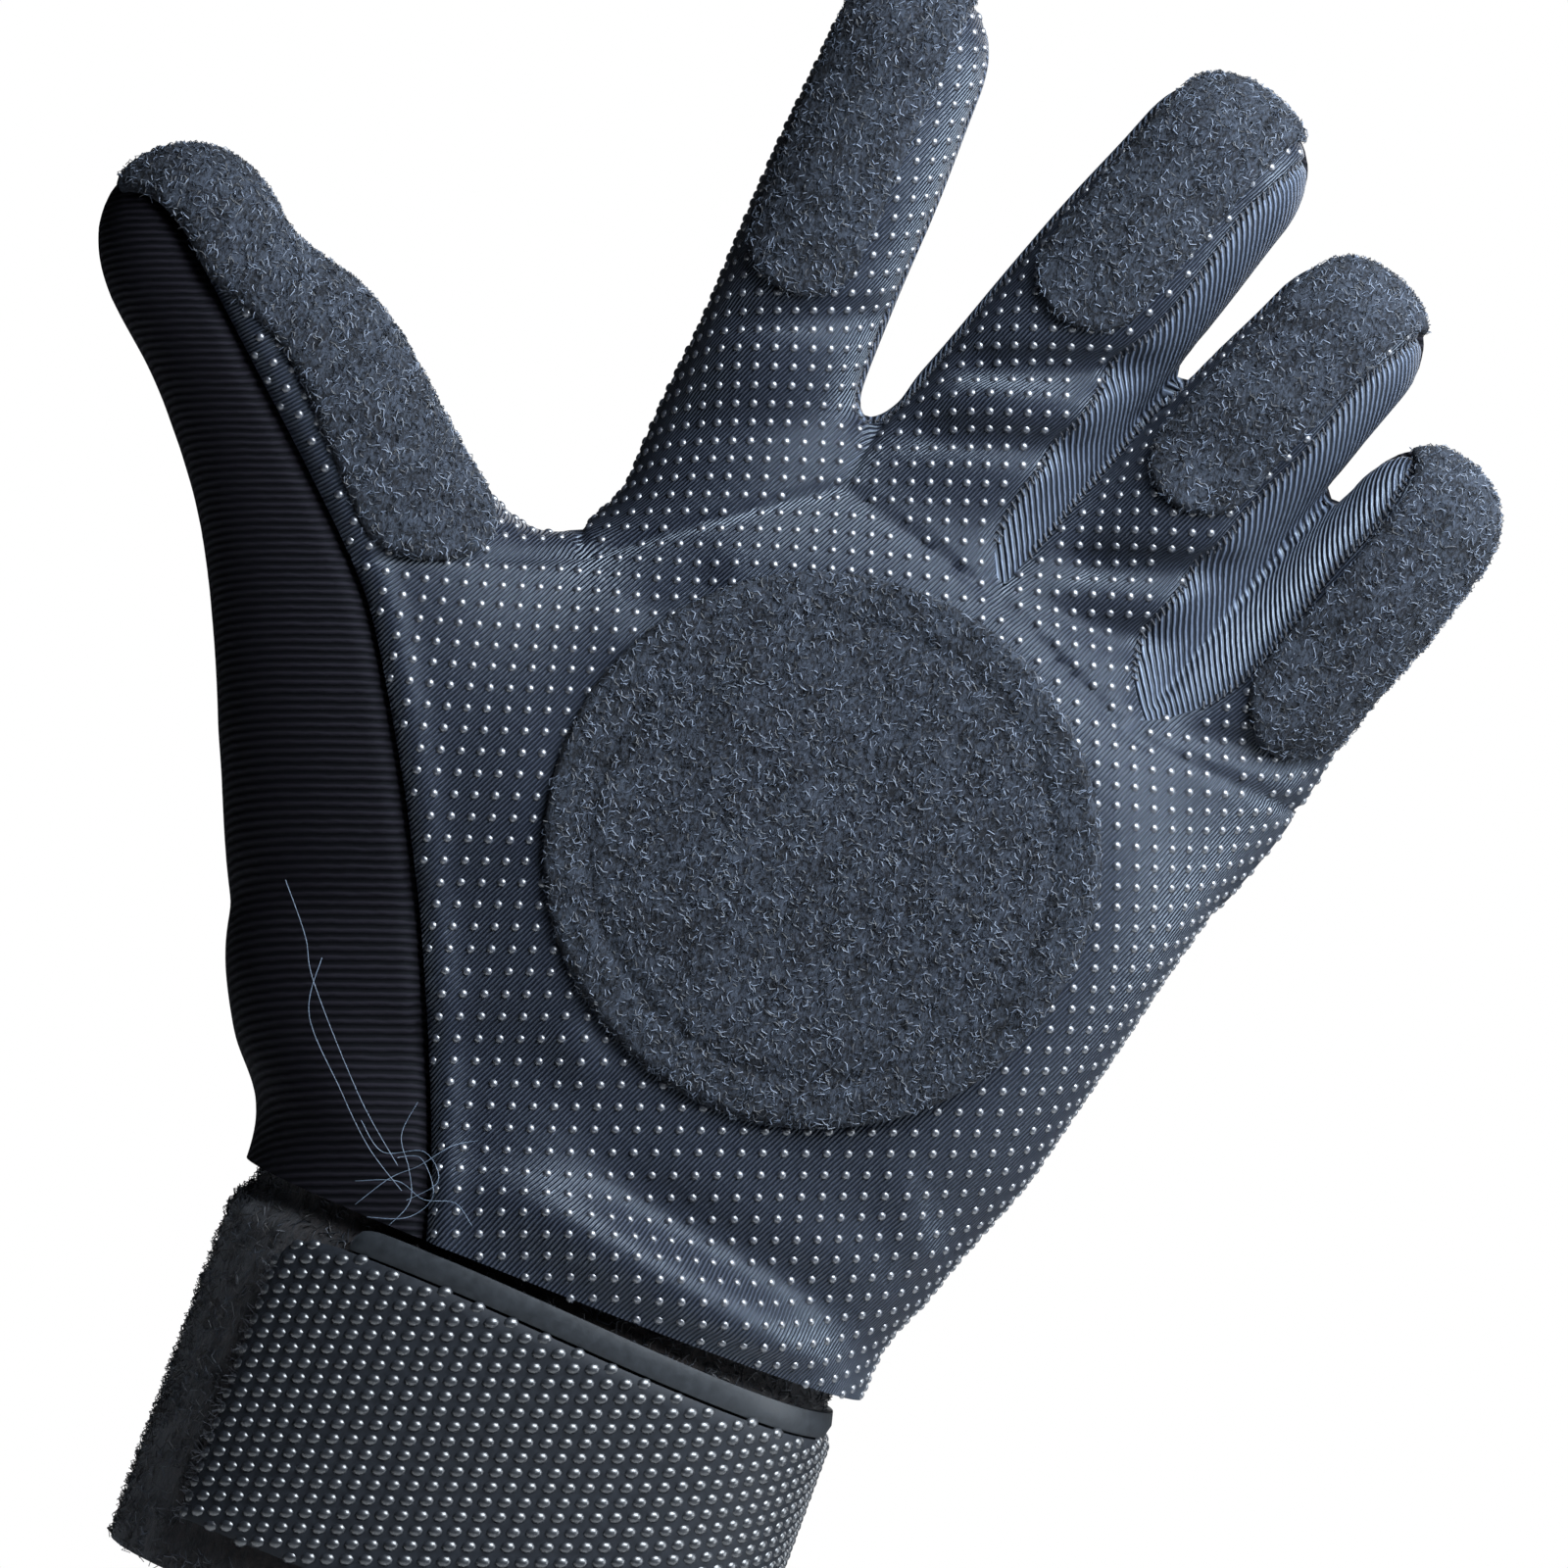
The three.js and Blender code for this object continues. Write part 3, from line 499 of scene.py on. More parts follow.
def digit_shape(digit):
    levels, dome_levels, sides = DIGIT_GRID
    stretch = digit["length"] - digit["tip"]
    domes = np.sin(np.linspace(0, math.radians(88), dome_levels + 1)[1:])
    along = np.concatenate([np.linspace(0, 1, levels), np.ones(dome_levels)])
    height = np.concatenate([np.linspace(0, stretch, levels), stretch + domes * digit["tip"]])
    slim = np.concatenate([np.ones(levels), (1 - domes**DOME_SQUARE) ** (1 / DOME_SQUARE)])
    rows = curve_through(sections_of(digit), DIGIT_COLUMNS, along)
    breadth = digit["breadth"] * (1 - digit["taper"] * along)
    angles = angles_round(sides)[None]
    half_breadth = rows["breadth"] * breadth / 2 * slim
    front, back = (rows[side] * digit["depth"] / 2 * slim for side in ("front", "back"))
    across, deep = rounded_outline(
        angles, half_breadth[:, None], front[:, None], back[:, None], DIGIT_SQUARE)
    across = across + (rows["across"] * digit["breadth"])[:, None]
    rings = np.stack([across, deep, np.broadcast_to(height[:, None], across.shape)], axis=2)
    turned, root = digit_matrix(digit)
    return lofted(rings @ turned.T + root)


def raw_mesh(name, points, faces):
    mesh = bpy.data.meshes.new(name)
    mesh.vertices.add(len(points))
    mesh.vertices.foreach_set("co", np.ascontiguousarray(points, np.float32).ravel())
    mesh.loops.add(faces.size)
    mesh.loops.foreach_set("vertex_index", np.ascontiguousarray(faces, np.int32).ravel())
    mesh.polygons.add(len(faces))
    mesh.polygons.foreach_set("loop_start", np.arange(0, faces.size, faces.shape[1], dtype=np.int32))
    mesh.update(calc_edges=True)
    mesh.validate()
    return mesh


def triangles_of(mesh):
    mesh.calc_loop_triangles()
    points = np.zeros(len(mesh.vertices) * 3, np.float32)
    faces = np.zeros(len(mesh.loop_triangles) * 3, np.int32)
    mesh.vertices.foreach_get("co", points)
    mesh.loop_triangles.foreach_get("vertices", faces)
    return points.reshape(-1, 3).astype(float), faces.reshape(-1, 3)


def merged_surface(shapes):
    """One even, smooth surface round several overlapping solids."""
    holder = bpy.data.objects.new("merging", raw_mesh("merging", *joined(shapes)))
    bpy.context.scene.collection.objects.link(holder)
    remesh = holder.modifiers.new("remesh", "REMESH")
    remesh.mode = "VOXEL"
    remesh.voxel_size = VOXEL
    smooth = holder.modifiers.new("smooth", "SMOOTH")
    smooth.iterations = SMOOTHINGS
    evaluated = holder.evaluated_get(bpy.context.evaluated_depsgraph_get())
    points, faces = triangles_of(evaluated.to_mesh())
    evaluated.to_mesh_clear()
    bpy.data.objects.remove(holder)
    return points, faces


def triangle_sides(faces):
    """The three sides of all triangles, in their direction."""
    return np.concatenate([faces[:, [0, 1]], faces[:, [1, 2]], faces[:, [2, 0]]])


def edge_keys(a, b, count):
    """One number for each pair of points, whichever comes first."""
    return np.minimum(a, b).astype(np.int64) * count + np.maximum(a, b)


def edges_of(faces, count):
    """Both ends of each edge of the triangles, without repeats."""
    return np.divmod(np.unique(edge_keys(*triangle_sides(faces).T, count)), count)


def eased(points, faces):
    """The surface with its joins between the palm and the digits smoothed out in front."""
    x, y, z = points.T
    chain = [SIDE_LINE[-1], WEB, *CROTCH_LOW, ULNAR]
    away = distance_to_line(x, z, chain)
    weight = (bell(away, EASE_REACH) * mm_step(1 * MM, 8 * MM, -y))[:, None]
    count = len(points)
    a, b = edges_of(faces, count)
    degree = (np.bincount(a, minlength=count) + np.bincount(b, minlength=count))[:, None]
    for _ in range(EASE_ROUNDS):
        total = np.stack([
            np.bincount(a, points[b, axis], count) + np.bincount(b, points[a, axis], count)
            for axis in range(3)], axis=1)
        points = points + 0.8 * weight * (total / degree - points)
    return points


def point_normals(points, faces):
    a, b, c = (points[faces[:, i]] for i in range(3))
    normal = np.cross(b - a, c - a)
    total = np.stack([
        sum(np.bincount(faces[:, i], normal[:, axis], len(points)) for i in range(3))
        for axis in range(3)], axis=1)
    return unit(total)


def share_along(x, z, start, end):
    """How far along a segment points lie: 0 at its start and 1 at its end."""
    step = np.array(end) - np.array(start)
    return ((x - start[0]) * step[0] + (z - start[1]) * step[1]) / (step @ step)


def distance_to_segment(x, z, start, end):
    share = np.clip(share_along(x, z, start, end), 0, 1)
    return np.hypot(x - start[0] - share * (end[0] - start[0]), z - start[1] - share * (end[1] - start[1]))


def distance_to_line(x, z, line):
    """Distance to a chain of points."""
    return np.minimum.reduce([distance_to_segment(x, z, start, end) for start, end in zip(line, line[1:])])


def fold_height(points):
    """How far the folds push the cloth out, at points of the hand's surface."""
    x, y, z = points.T
    height = np.zeros(len(points))
    for side, across, up, to_across, to_up, rise, spread in HAND_FOLDS:
        start, end = (palm_x(across), palm_z(up)), (palm_x(to_across), palm_z(to_up))
        share = share_along(x, z, start, end)
        near = bell(distance_to_segment(x, z, start, end), spread * PALM_DEPTH)
        near *= mm_step(-0.1, 0.35, share) * mm_step(1.1, 0.75, share)
        height += rise * PALM_DEPTH * near * mm_step(2 * MM, 12 * MM, side * y)
    height *= mm_step(palm_z(0), palm_z(0.045), z)
    for i, side, along, sink, spread, slant in CREASES:
        digit = DIGITS[i]
        local = to_digit(points, digit)
        inside = mm_step(0, 7 * MM, cell_depth(points, i))
        place = local[:, 2] - along * digit["length"] - slant * local[:, 0]
        near = bell(place, spread) * mm_step(0, 7 * MM, side * local[:, 1])
        near *= mm_step(0.52, 0.3, np.abs(local[:, 0]) / digit["breadth"])
        height -= sink * near * inside
    return height


# Panels: each digit has a cell of its own above the palm, so that its seams follow it

def polygon_depth(x, z, outline):
    """How deep points lie inside an outline in the XZ plane; negative outside."""
    distance = distance_to_line(x, z, outline + outline[:1])
    inside = np.zeros(len(x), bool)
    for (ax, az), (bx, bz) in zip(outline, outline[1:] + outline[:1]):
        if az != bz:
            inside ^= ((az > z) != (bz > z)) & (x < (bx - ax) * (z - az) / (bz - az) + ax)
    return np.where(inside, distance, -distance)


def bisector(digit, neighbour, height):
    """The point at a height on the line that parts two digits."""
    shorter = min(digit["length"], neighbour["length"])
    middles = []
    for along in (0, shorter):
        ends = [digit_matrix(d)[0] @ (0, 0, along) + digit_matrix(d)[1] for d in (digit, neighbour)]
        middles.append((ends[0] + ends[1]) / 2)
    low, high = middles
    share = (height - low[2]) / (high[2] - low[2])
    return low[0] + share * (high[0] - low[0]), height


def far_along(start, slope):
    return start[0] + slope[0] * FAR, start[1] + slope[1] * FAR


def smooth_line(points):
    """A chain of points on a smooth curve through a few."""
    rows = [(i, *point) for i, point in enumerate(points)]
    steps = (len(points) - 1) * SEAM_STEPS + 1
    found = curve_through(rows, ("i", "x", "z"), np.linspace(0, len(points) - 1, steps))
    return list(zip(found["x"], found["z"]))


def thumb_seam_points():
    turned, root = digit_matrix(THUMB)
    places = [(across * THUMB["breadth"], 0, along * THUMB["length"]) for along, across in THUMB_SEAM]
    return [tuple((turned @ place + root)[[0, 2]]) for place in places]


WEB = (palm_x(INDEX["root_across"]) - WEB_ASIDE * INDEX["breadth"], palm_z(WEB_UP))
ULNAR = (palm_x(1), palm_z(ULNAR_UP))
WEB_FAR = far_along(WEB, WEB_SLOPE)
ULNAR_FAR = (FAR, ULNAR[1] + ULNAR_SLOPE[1] * FAR)
NEIGHBOURS = list(zip(FINGERS, FINGERS[1:]))
CROTCH_LOW = [bisector(*pair, palm_z(up) - CROTCH_DROP) for pair, up in zip(NEIGHBOURS, CROTCHES_UP)]
CROTCH_FAR = [bisector(*pair, FAR) for pair in NEIGHBOURS]
SEAM_STEPS = 4
SEAM_LINE = smooth_line([(palm_x(across), palm_z(up)) for across, up in SIDE_SEAM] + thumb_seam_points())
PARTING = (len(SIDE_SEAM) - 1) * SEAM_STEPS
SIDE_LINE, THUMB_LINE = SEAM_LINE[:PARTING + 1], SEAM_LINE[PARTING:]


def cell(i):
    """Outline of a digit's cell; 0 is the thumb's."""
    if i == 0:
        return [*THUMB_LINE, (WEB_FAR[0], THUMB_LINE[-1][1]), WEB_FAR, WEB]
    left = [WEB, WEB_FAR] if i == 1 else [CROTCH_LOW[i - 2], CROTCH_FAR[i - 2]]
    right = [ULNAR_FAR, ULNAR] if i == len(FINGERS) else [CROTCH_FAR[i - 1], CROTCH_LOW[i - 1]]
    return left + right


PALM_CELL = [
    *SIDE_LINE, WEB, *CROTCH_LOW, ULNAR, (FAR, ULNAR[1]), (FAR, 0), (SIDE_LINE[0][0], 0),
]


def cell_depth(points, i):
    return polygon_depth(points[:, 0], points[:, 2], cell(i)) + LAP


def front_level(points):
    """Positive where the palm's cloth lies, negative elsewhere; about the distance to its seams."""
    palm = polygon_depth(points[:, 0], points[:, 2], PALM_CELL) + LAP
    level = np.minimum(palm, EDGE_WRAP - points[:, 1])
    thumb = np.minimum(cell_depth(points, 0), THUMB_WRAP - to_digit(points, THUMB)[:, 1])
    level = np.maximum(level, thumb)
    for i, finger in enumerate(FINGERS):
        local = to_digit(points, finger, finger["facing"])
        left = INDEX_WRAP if finger is INDEX else -STRIP_HALF_WIDTH
        right = (-INDEX_SEAM, *(-STRIP_HALF_WIDTH - wrap for wrap in STRIP_WRAPS[1:]), EDGE_WRAP)[i]
        seam = np.where(local[:, 0] < 0, left, right) * strip_share(local[:, 2], finger)
        level = np.maximum(level, np.minimum(cell_depth(points, i + 1), seam - local[:, 1]))
    return level


def strip_share(along, finger):
    """How much of its width a strip still has, from 1 below the tip to 0 where it ends in a point."""
    gone = np.clip((along - finger["length"] + STRIP_TAPER) / (STRIP_TAPER - STRIP_STOP), 0, 1)
    return np.sqrt(1 - gone**2)


def strip_level(points, i):
    """Positive on the strip between two neighbouring fingers, negative elsewhere."""
    level = np.full(len(points), -np.inf)
    for side, sign in ((0, 1), (1, -1)):
        finger = FINGERS[i + side]
        local = to_digit(points, finger, finger["facing"])
        half = STRIP_HALF_WIDTH * strip_share(local[:, 2], finger)
        middle = local[:, 1] + (STRIP_WRAPS[i] if sign > 0 else 0)
        own = np.minimum(half - np.abs(middle), sign * local[:, 0] + LAP)
        level = np.maximum(level, np.minimum(own, cell_depth(points, i + side + 1)))
    return level


def pad_level(points, digit):
    """Positive inside the outline of a digit's loop pad."""
    local = to_digit(points, digit, digit["facing"])
    half = digit["pad_width"] / 2
    start = digit["pad_from"] * digit["length"] + half
    stretch = digit["length"] - digit["tip"]
    rows = curve_through(sections_of(digit), DIGIT_COLUMNS, np.clip(local[:, 2] / stretch, 0, 1))
    centre = rows["across"] * digit["breadth"] * math.cos(math.radians(digit["facing"]))
    aside = local[:, 0] - centre - digit["pad_aside"]
    level = half - np.where(local[:, 2] < start, np.hypot(aside, start - local[:, 2]), np.abs(aside))
    level = np.minimum(level, -local[:, 1])
    near = local[:, 2] > digit["pad_from"] * digit["length"] - 2 * MM
    return np.where(near, level, -half)


def palm_pad_matrix():
    turned = np.array(Euler((math.radians(90 - PAD_LEAN), 0, 0)).to_matrix())
    centre = np.array([palm_x(PAD_CENTRE[0]), -PAD_CENTRE[2] * PALM_DEPTH, palm_z(PAD_CENTRE[1])])
    return turned, centre


def palm_pad_level(points):
    turned, centre = palm_pad_matrix()
    local = (points - centre) @ turned
    return np.where(points[:, 1] < 0, PAD_DIAMETER / 2 - np.hypot(local[:, 0], local[:, 1]), -PAD_DIAMETER)


def shared_sides(faces, count):
    """The sides of the triangles without repeats, and for each corner the number of the side opposite."""
    keys, place = np.unique(
        edge_keys(faces[:, [1, 2, 0]], faces[:, [2, 0, 1]], count), return_inverse=True)
    return *np.divmod(keys, count), place.reshape(-1, 3)


def cut_along(points, faces, level_of):
    """Splits triangles so that the zero line of a level runs along edges."""
    level = level_of(points)
    points, level = points.copy(), level.copy()
    count = len(points)
    a, b, place = shared_sides(faces, count)
    for ends, others in ((a, b), (b, a)):
        whole = np.abs(level[ends] - level[others])
        share = np.abs(level[ends]) / np.where(whole > 0, whole, 1)
        near = (level[ends] * level[others] < 0) & (share < SNAP)
        points[ends[near]] += share[near, None] * (points[others[near]] - points[ends[near]])
        level[ends[near]] = 0
    crossed = level[a] * level[b] < 0
    share = (level[a] / np.where(crossed, level[a] - level[b], 1))[crossed, None]
    added = points[a[crossed]] + share * (points[b[crossed]] - points[a[crossed]])
    number = np.full(len(a), -1)
    number[crossed] = count + np.arange(crossed.sum())
    middle = number[place]
    cut = middle >= 0
    pieces = [faces[cut.sum(1) == 0]]
    for k in range(3):
        first, second, third = faces[:, k], faces[:, (k + 1) % 3], faces[:, (k + 2) % 3]
        two = (cut.sum(1) == 2) & ~cut[:, k]
        p, q = middle[:, (k + 2) % 3], middle[:, (k + 1) % 3]
        pieces += [
            np.stack(corners, 1)[two] for corners in ((first, p, q), (p, second, third), (p, third, q))]
        one = (cut.sum(1) == 1) & cut[:, k]
        m = middle[:, k]
        pieces += [np.stack(corners, 1)[one] for corners in ((first, second, m), (first, m, third))]
    points = np.concatenate([points, added])
    level = np.concatenate([level, np.zeros(len(added))])
    faces = np.concatenate(pieces)
    side = level[faces]
    inside = side[np.arange(len(faces)), np.abs(side).argmax(1)] > 0
    return points, faces, inside


def only(points, faces, *others):
    """The points that the faces use, the faces renumbered, and other columns of those points."""
    used, renumbered = np.unique(faces, return_inverse=True)
    return points[used], renumbered.reshape(faces.shape), *(other[used] for other in others)


def rim_edges(faces):
    """Edges that only one triangle uses, in its direction."""
    a, b = triangle_sides(faces).T
    keys = edge_keys(a, b, faces.max() + 1)
    _, first, times = np.unique(keys, return_index=True, return_counts=True)
    lone = first[times == 1]
    return a[lone], b[lone]


def closed_body(outer, inner, faces):
    """A closed body from the points of its outer and its inner side, which have the same faces."""
    count = len(outer)
    a, b = rim_edges(faces)
    walls = np.concatenate([np.stack([b, a, a + count], 1), np.stack([b, a + count, b + count], 1)])
    return np.concatenate([outer, inner]), np.concatenate([faces, faces[:, ::-1] + count, walls])


HAND = {}


def hand_surface():
    """The hand's outer surface, cut along every seam and then folded; plain holds the points before that."""
    if HAND:
        return HAND
    points, faces = merged_surface([palm_shape(), *(digit_shape(digit) for digit in DIGITS)])
    points = eased(points, faces)
    hem_width = CUFF_BREADTH + 2 * (HEM_EASE + HEM_WALL - TUCK_SLIMMING)
    hem_right = HEM_SHIFT + hem_width / 2

    def above_hem(p):
        return p[:, 2] - HEM_HEIGHT - HEM_RISE * (hem_right - p[:, 0]) / hem_width

    points, faces, inside = cut_along(points, faces, above_hem)
    points, faces = only(points, faces[inside])
    levels = [front_level] + [lambda p, i=i: strip_level(p, i) for i in range(len(CROTCHES_UP))]
    for level in levels:
        points, faces, inside = cut_along(points, faces, level)
    centres = points[faces].mean(1)
    label = np.full(len(faces), BACK)
    for i in range(len(CROTCHES_UP)):
        label[strip_level(centres, i) > 0] = i + 1
    label[front_level(centres) > 0] = PALM
    plain = points
    for _ in range(2):
        points = points + point_normals(points, faces) * (fold_height(points) / 2)[:, None]
    HAND.update(points=points, plain=plain, faces=faces, normals=point_normals(points, faces), label=label)
    return HAND


def cloth_frame(points, normals, skew):
    """Two directions in the cloth at each point: across and along the hand, turned by skew degrees."""
    tilt, _ = digit_tilt(points)
    turned = np.radians(tilt)
    axis = np.stack([np.sin(turned), np.zeros(len(points)), np.cos(turned)], axis=1)
    along = in_surface(axis, normals)
    across = np.cross(along, normals)
    angle = np.radians(skew + tilt)[:, None]
    return np.cos(angle) * across + np.sin(angle) * along, np.cos(angle) * along - np.sin(angle) * across


def unrolled(points, faces, across, along):
    """Flat coordinates of the cloth, in metres, whose steps fit the two directions as well as they can."""
    count = len(points)
    a, b = edges_of(faces, count)
    step = points[b] - points[a]
    degree = np.bincount(a, minlength=count) + np.bincount(b, minlength=count) + 1e-4

    def gather(value):
        return np.bincount(b, value, count) - np.bincount(a, value, count)

    flat = []
    for direction, start in ((across, points[:, 0]), (along, points[:, 2])):
        target = gather((step * (direction[a] + direction[b]) / 2).sum(1)) + 1e-4 * start
        found = start.copy()
        residual = target - (gather(found[b] - found[a]) + 1e-4 * found)
        search = residual / degree
        size = residual @ search
        for _ in range(UNROLL_ROUNDS):
            pushed = gather(search[b] - search[a]) + 1e-4 * search
            stride = size / (search @ pushed)
            found += stride * search
            residual -= stride * pushed
            scaled = residual / degree
            size, before = residual @ scaled, size
            if size < 1e-14:
                break
            search = scaled + size / before * search
        flat.append(found)
    return np.stack(flat, axis=1)


# Materials

def set_inputs(tree, node, inputs):
    """Gives a node's inputs values, or links from other nodes' outputs."""
    for name, value in inputs.items():
        if isinstance(value, bpy.types.NodeSocket):
            tree.links.new(value, node.inputs[name])
        else:
            node.inputs[name].default_value = value


def add_node(tree, kind, inputs, **settings):
    node = tree.nodes.new(kind)
    for name, value in settings.items():
        setattr(node, name, value)
    set_inputs(tree, node, inputs)
    return node


def node_of(tree, kind):
    return next(node for node in tree.nodes if node.type == kind)


def new_material(name):
    """A material, its nodes and its main shader."""
    material = bpy.data.materials.new(name)
    material.use_nodes = True
    return material, material.node_tree, node_of(material.node_tree, "BSDF_PRINCIPLED")


def ramp_between(tree, factor, low_place, low, high_place, high):
    ramp = add_node(tree, "ShaderNodeValToRGB", {"Fac": factor})
    ramp.color_ramp.elements[0].position = low_place
    ramp.color_ramp.elements[0].color = low
    ramp.color_ramp.elements[1].position = high_place
    ramp.color_ramp.elements[1].color = high
    return ramp.outputs["Color"]


def attribute_node(tree, name):
    return add_node(tree, "ShaderNodeAttribute", {}, attribute_name=name)


def mapped(tree, vector, **inputs):
    """Coordinates turned or stretched."""
    return add_node(tree, "ShaderNodeMapping", {"Vector": vector, **inputs}).outputs["Vector"]


def noise_value(tree, vector, scale, detail, roughness):
    inputs = {"Vector": vector, "Scale": scale, "Detail": detail, "Roughness": roughness}
    return add_node(tree, "ShaderNodeTexNoise", inputs).outputs["Fac"]


def object_coordinates(tree):
    return add_node(tree, "ShaderNodeTexCoord", {}).outputs["Object"]


def combined(tree, operation, first, second):
    return add_node(tree, "ShaderNodeMath", {0: first, 1: second}, operation=operation).outputs["Value"]


def bumped(tree, height, distance):
    """Normals of a surface with small heights on it."""
    inputs = {"Height": height, "Distance": distance, "Strength": 1}
    return add_node(tree, "ShaderNodeBump", inputs).outputs["Normal"]


def woven_material(name, line, shaded_gap, pitch, angle, depth, roughness, gloss):
    """Cloth with raised lines of yarn and a slow change of tone; the lines carry a painted highlight and the
    gaps between them painted shade.
    """
    material, tree, shader = new_material(name)
    cloth = attribute_node(tree, "cloth").outputs["Vector"]
    vector = mapped(tree, cloth, Rotation=(0, 0, math.radians(angle)))
    wave = add_node(tree, "ShaderNodeTexWave", {
        "Vector": vector, "Scale": 2 * math.pi / (20 * pitch), "Distortion": 0.6, "Detail": 1,
        "Detail Scale": 1.5}, wave_type="BANDS", bands_direction="X")
    yarn = noise_value(tree, mapped(tree, vector, Scale=(1, 0.35, 1)), 1.2 / pitch, 2, 0.5)
    tone = noise_value(tree, object_coordinates(tree), 45, 2, 0.5)
    raised = combined(tree, "MULTIPLY", wave.outputs["Fac"], combined(tree, "ADD", 0.55, yarn))
    worn = combined(tree, "ADD", 1 - CLOTH_WEAR / 2, combined(tree, "MULTIPLY", tone, CLOTH_WEAR))
    shaded = combined(tree, "MULTIPLY", raised, worn)
    set_inputs(tree, shader, {
        # The colour follows the yarn's height: lighter on the lines as a painted highlight, darker in the
        # gaps as painted shade.
        "Base Color": ramp_between(tree, shaded, 0.3, shaded_gap, 0.9, line), "Roughness": roughness,
        "Specular IOR Level": gloss, "Specular Tint": (0.75, 0.87, 1, 1),
        "Normal": bumped(tree, raised, depth)})
    return material


def felt_material(name, dark, light, scale, sheen, depth):
    """Heathered pile: light and dark fibres in small clumps."""
    material, tree, shader = new_material(name)
    place = object_coordinates(tree)
    leaning = mapped(tree, place, Rotation=(0, math.radians(35), 0), Scale=(1, 1, 0.55))
    fibres = noise_value(tree, leaning, scale, 4, 0.7)
    clumps = noise_value(tree, place, scale / 9, 2, 0.5)
    mixed = combined(
        tree, "ADD", combined(tree, "MULTIPLY", fibres, 0.8), combined(tree, "MULTIPLY", clumps, 0.25))
    set_inputs(tree, shader, {
        "Base Color": ramp_between(tree, mixed, 0.46, dark, 0.62, light), "Roughness": 0.95,
        "Specular IOR Level": 0.2, "Sheen Weight": sheen, "Sheen Roughness": 0.6,
        "Sheen Tint": (0.85, 0.9, 1, 1), "Normal": bumped(tree, fibres, depth)})
    return material


def moulded_material(name, colour, roughness, grain, coat=0.0, gloss=0.5):
    """Plastic or rubber with a slight grain and uneven gloss."""
    material, tree, shader = new_material(name)
    spots = noise_value(tree, object_coordinates(tree), 900, 3, 0.6)
    uneven = add_node(tree, "ShaderNodeMapRange", {
        "Value": spots, "To Min": roughness - 0.08, "To Max": roughness + 0.12})
    set_inputs(tree, shader, {
        "Base Color": ramp_between(tree, spots, 0.3, colour, 0.75, toned(colour, 1.7)),
        "Roughness": uneven.outputs["Result"], "Specular IOR Level": gloss, "Coat Weight": coat,
        "Coat Roughness": 0.3, "Normal": bumped(tree, spots, grain)})
    return material


def fibre_material(name, dark, light):
    """Threads of a pile, each with a tone of its own between dark and light."""
    material, tree, shader = new_material(name)
    tone = attribute_node(tree, "tone").outputs["Fac"]
    set_inputs(tree, shader, {
        "Base Color": ramp_between(tree, tone, 0.2, dark, 1, light), "Roughness": 0.6,
        "Specular IOR Level": 0.35})
    return material


def toned(colour, factor):
    """A colour made darker or lighter."""
    return (*(min(1, channel * factor) for channel in colour[:3]), 1)


def shaded_under_pile(colour):
    """The tone of the felt between its fibres, darker than the fibres as painted shade under the loops."""
    return tuple(dark + 0.3 * (light - dark) for dark, light in zip(colour.felt_dark, colour.felt_light))

MATERIALS = {}


def finish_of(name):
    """A material by name, made once."""
    if name in MATERIALS:
        return MATERIALS[name]
    size, colour = sizes(), colours()
    makers = {
        # Palm twill: lines in a painted satin highlight, gaps in painted shade.
        "palm_twill": lambda: woven_material(
            name, colour.twill[:], colour.shaded_twill_gap[:], size.twill_pitch, 43, 0.2 * MM, 0.4, 0.34),
        # The back's ribs use a lighter copy of its colour as a painted highlight on the ribs, and a darker
        # copy as painted shade between them.
        "back_rib": lambda: woven_material(
            name, toned(colour.back, 1.5), toned(colour.back, 0.3), size.back_rib_pitch, 90,
            0.2 * MM, 0.8, 0.06),
        # Strip ribs: lines in the knit colour's painted light, gaps in painted shade.
        "strip_rib": lambda: woven_material(
            name, colour.lit_knit[:], colour.shaded_twill_gap[:], size.rib_pitch, 135, 0.32 * MM, 0.45, 0.45),
        "grip_dot": lambda: moulded_material(name, colour.dot[:], 0.4, 0.005 * MM, 1.0, 0.8),
        # The pad's felt under its loops is darker as painted shade.
        "loop_felt": lambda: felt_material(
            name, colour.felt_dark[:], shaded_under_pile(colour), 2600, 0, 0.25 * MM),
        "felt_fibre": lambda: fibre_material(name, colour.felt_dark[:], colour.felt_light[:]),
        # The cuff's finishes carry the cuff colour's painted shade and painted brown back light.
        "cuff_fibre": lambda: fibre_material(name, colour.cuff[:], toned(colour.felt_light, 1 / 3)),
        "cuff_pile": lambda: felt_material(
            name, toned(colour.cuff, 0.35), toned(colour.cuff, 2.6), 1300, 0.15, 0.25 * MM),
        "strap_face": lambda: moulded_material(name, colour.strap[:], 0.55, 0.03 * MM, gloss=0.12),
        "strap_knob": lambda: moulded_material(name, colour.strap[:], 0.36, 0.02 * MM, 0.6),
        "tape_face": lambda: moulded_material(name, colour.tape[:], 0.45, 0.03 * MM, gloss=0.25),
        "thread": lambda: moulded_material(name, colour.thread[:], 0.8, 0.02 * MM),
        "loose_thread": lambda: moulded_material(name, colour.loose_thread[:], 0.5, 0.05 * MM),
    }
    MATERIALS[name] = makers[name]()
    return MATERIALS[name]


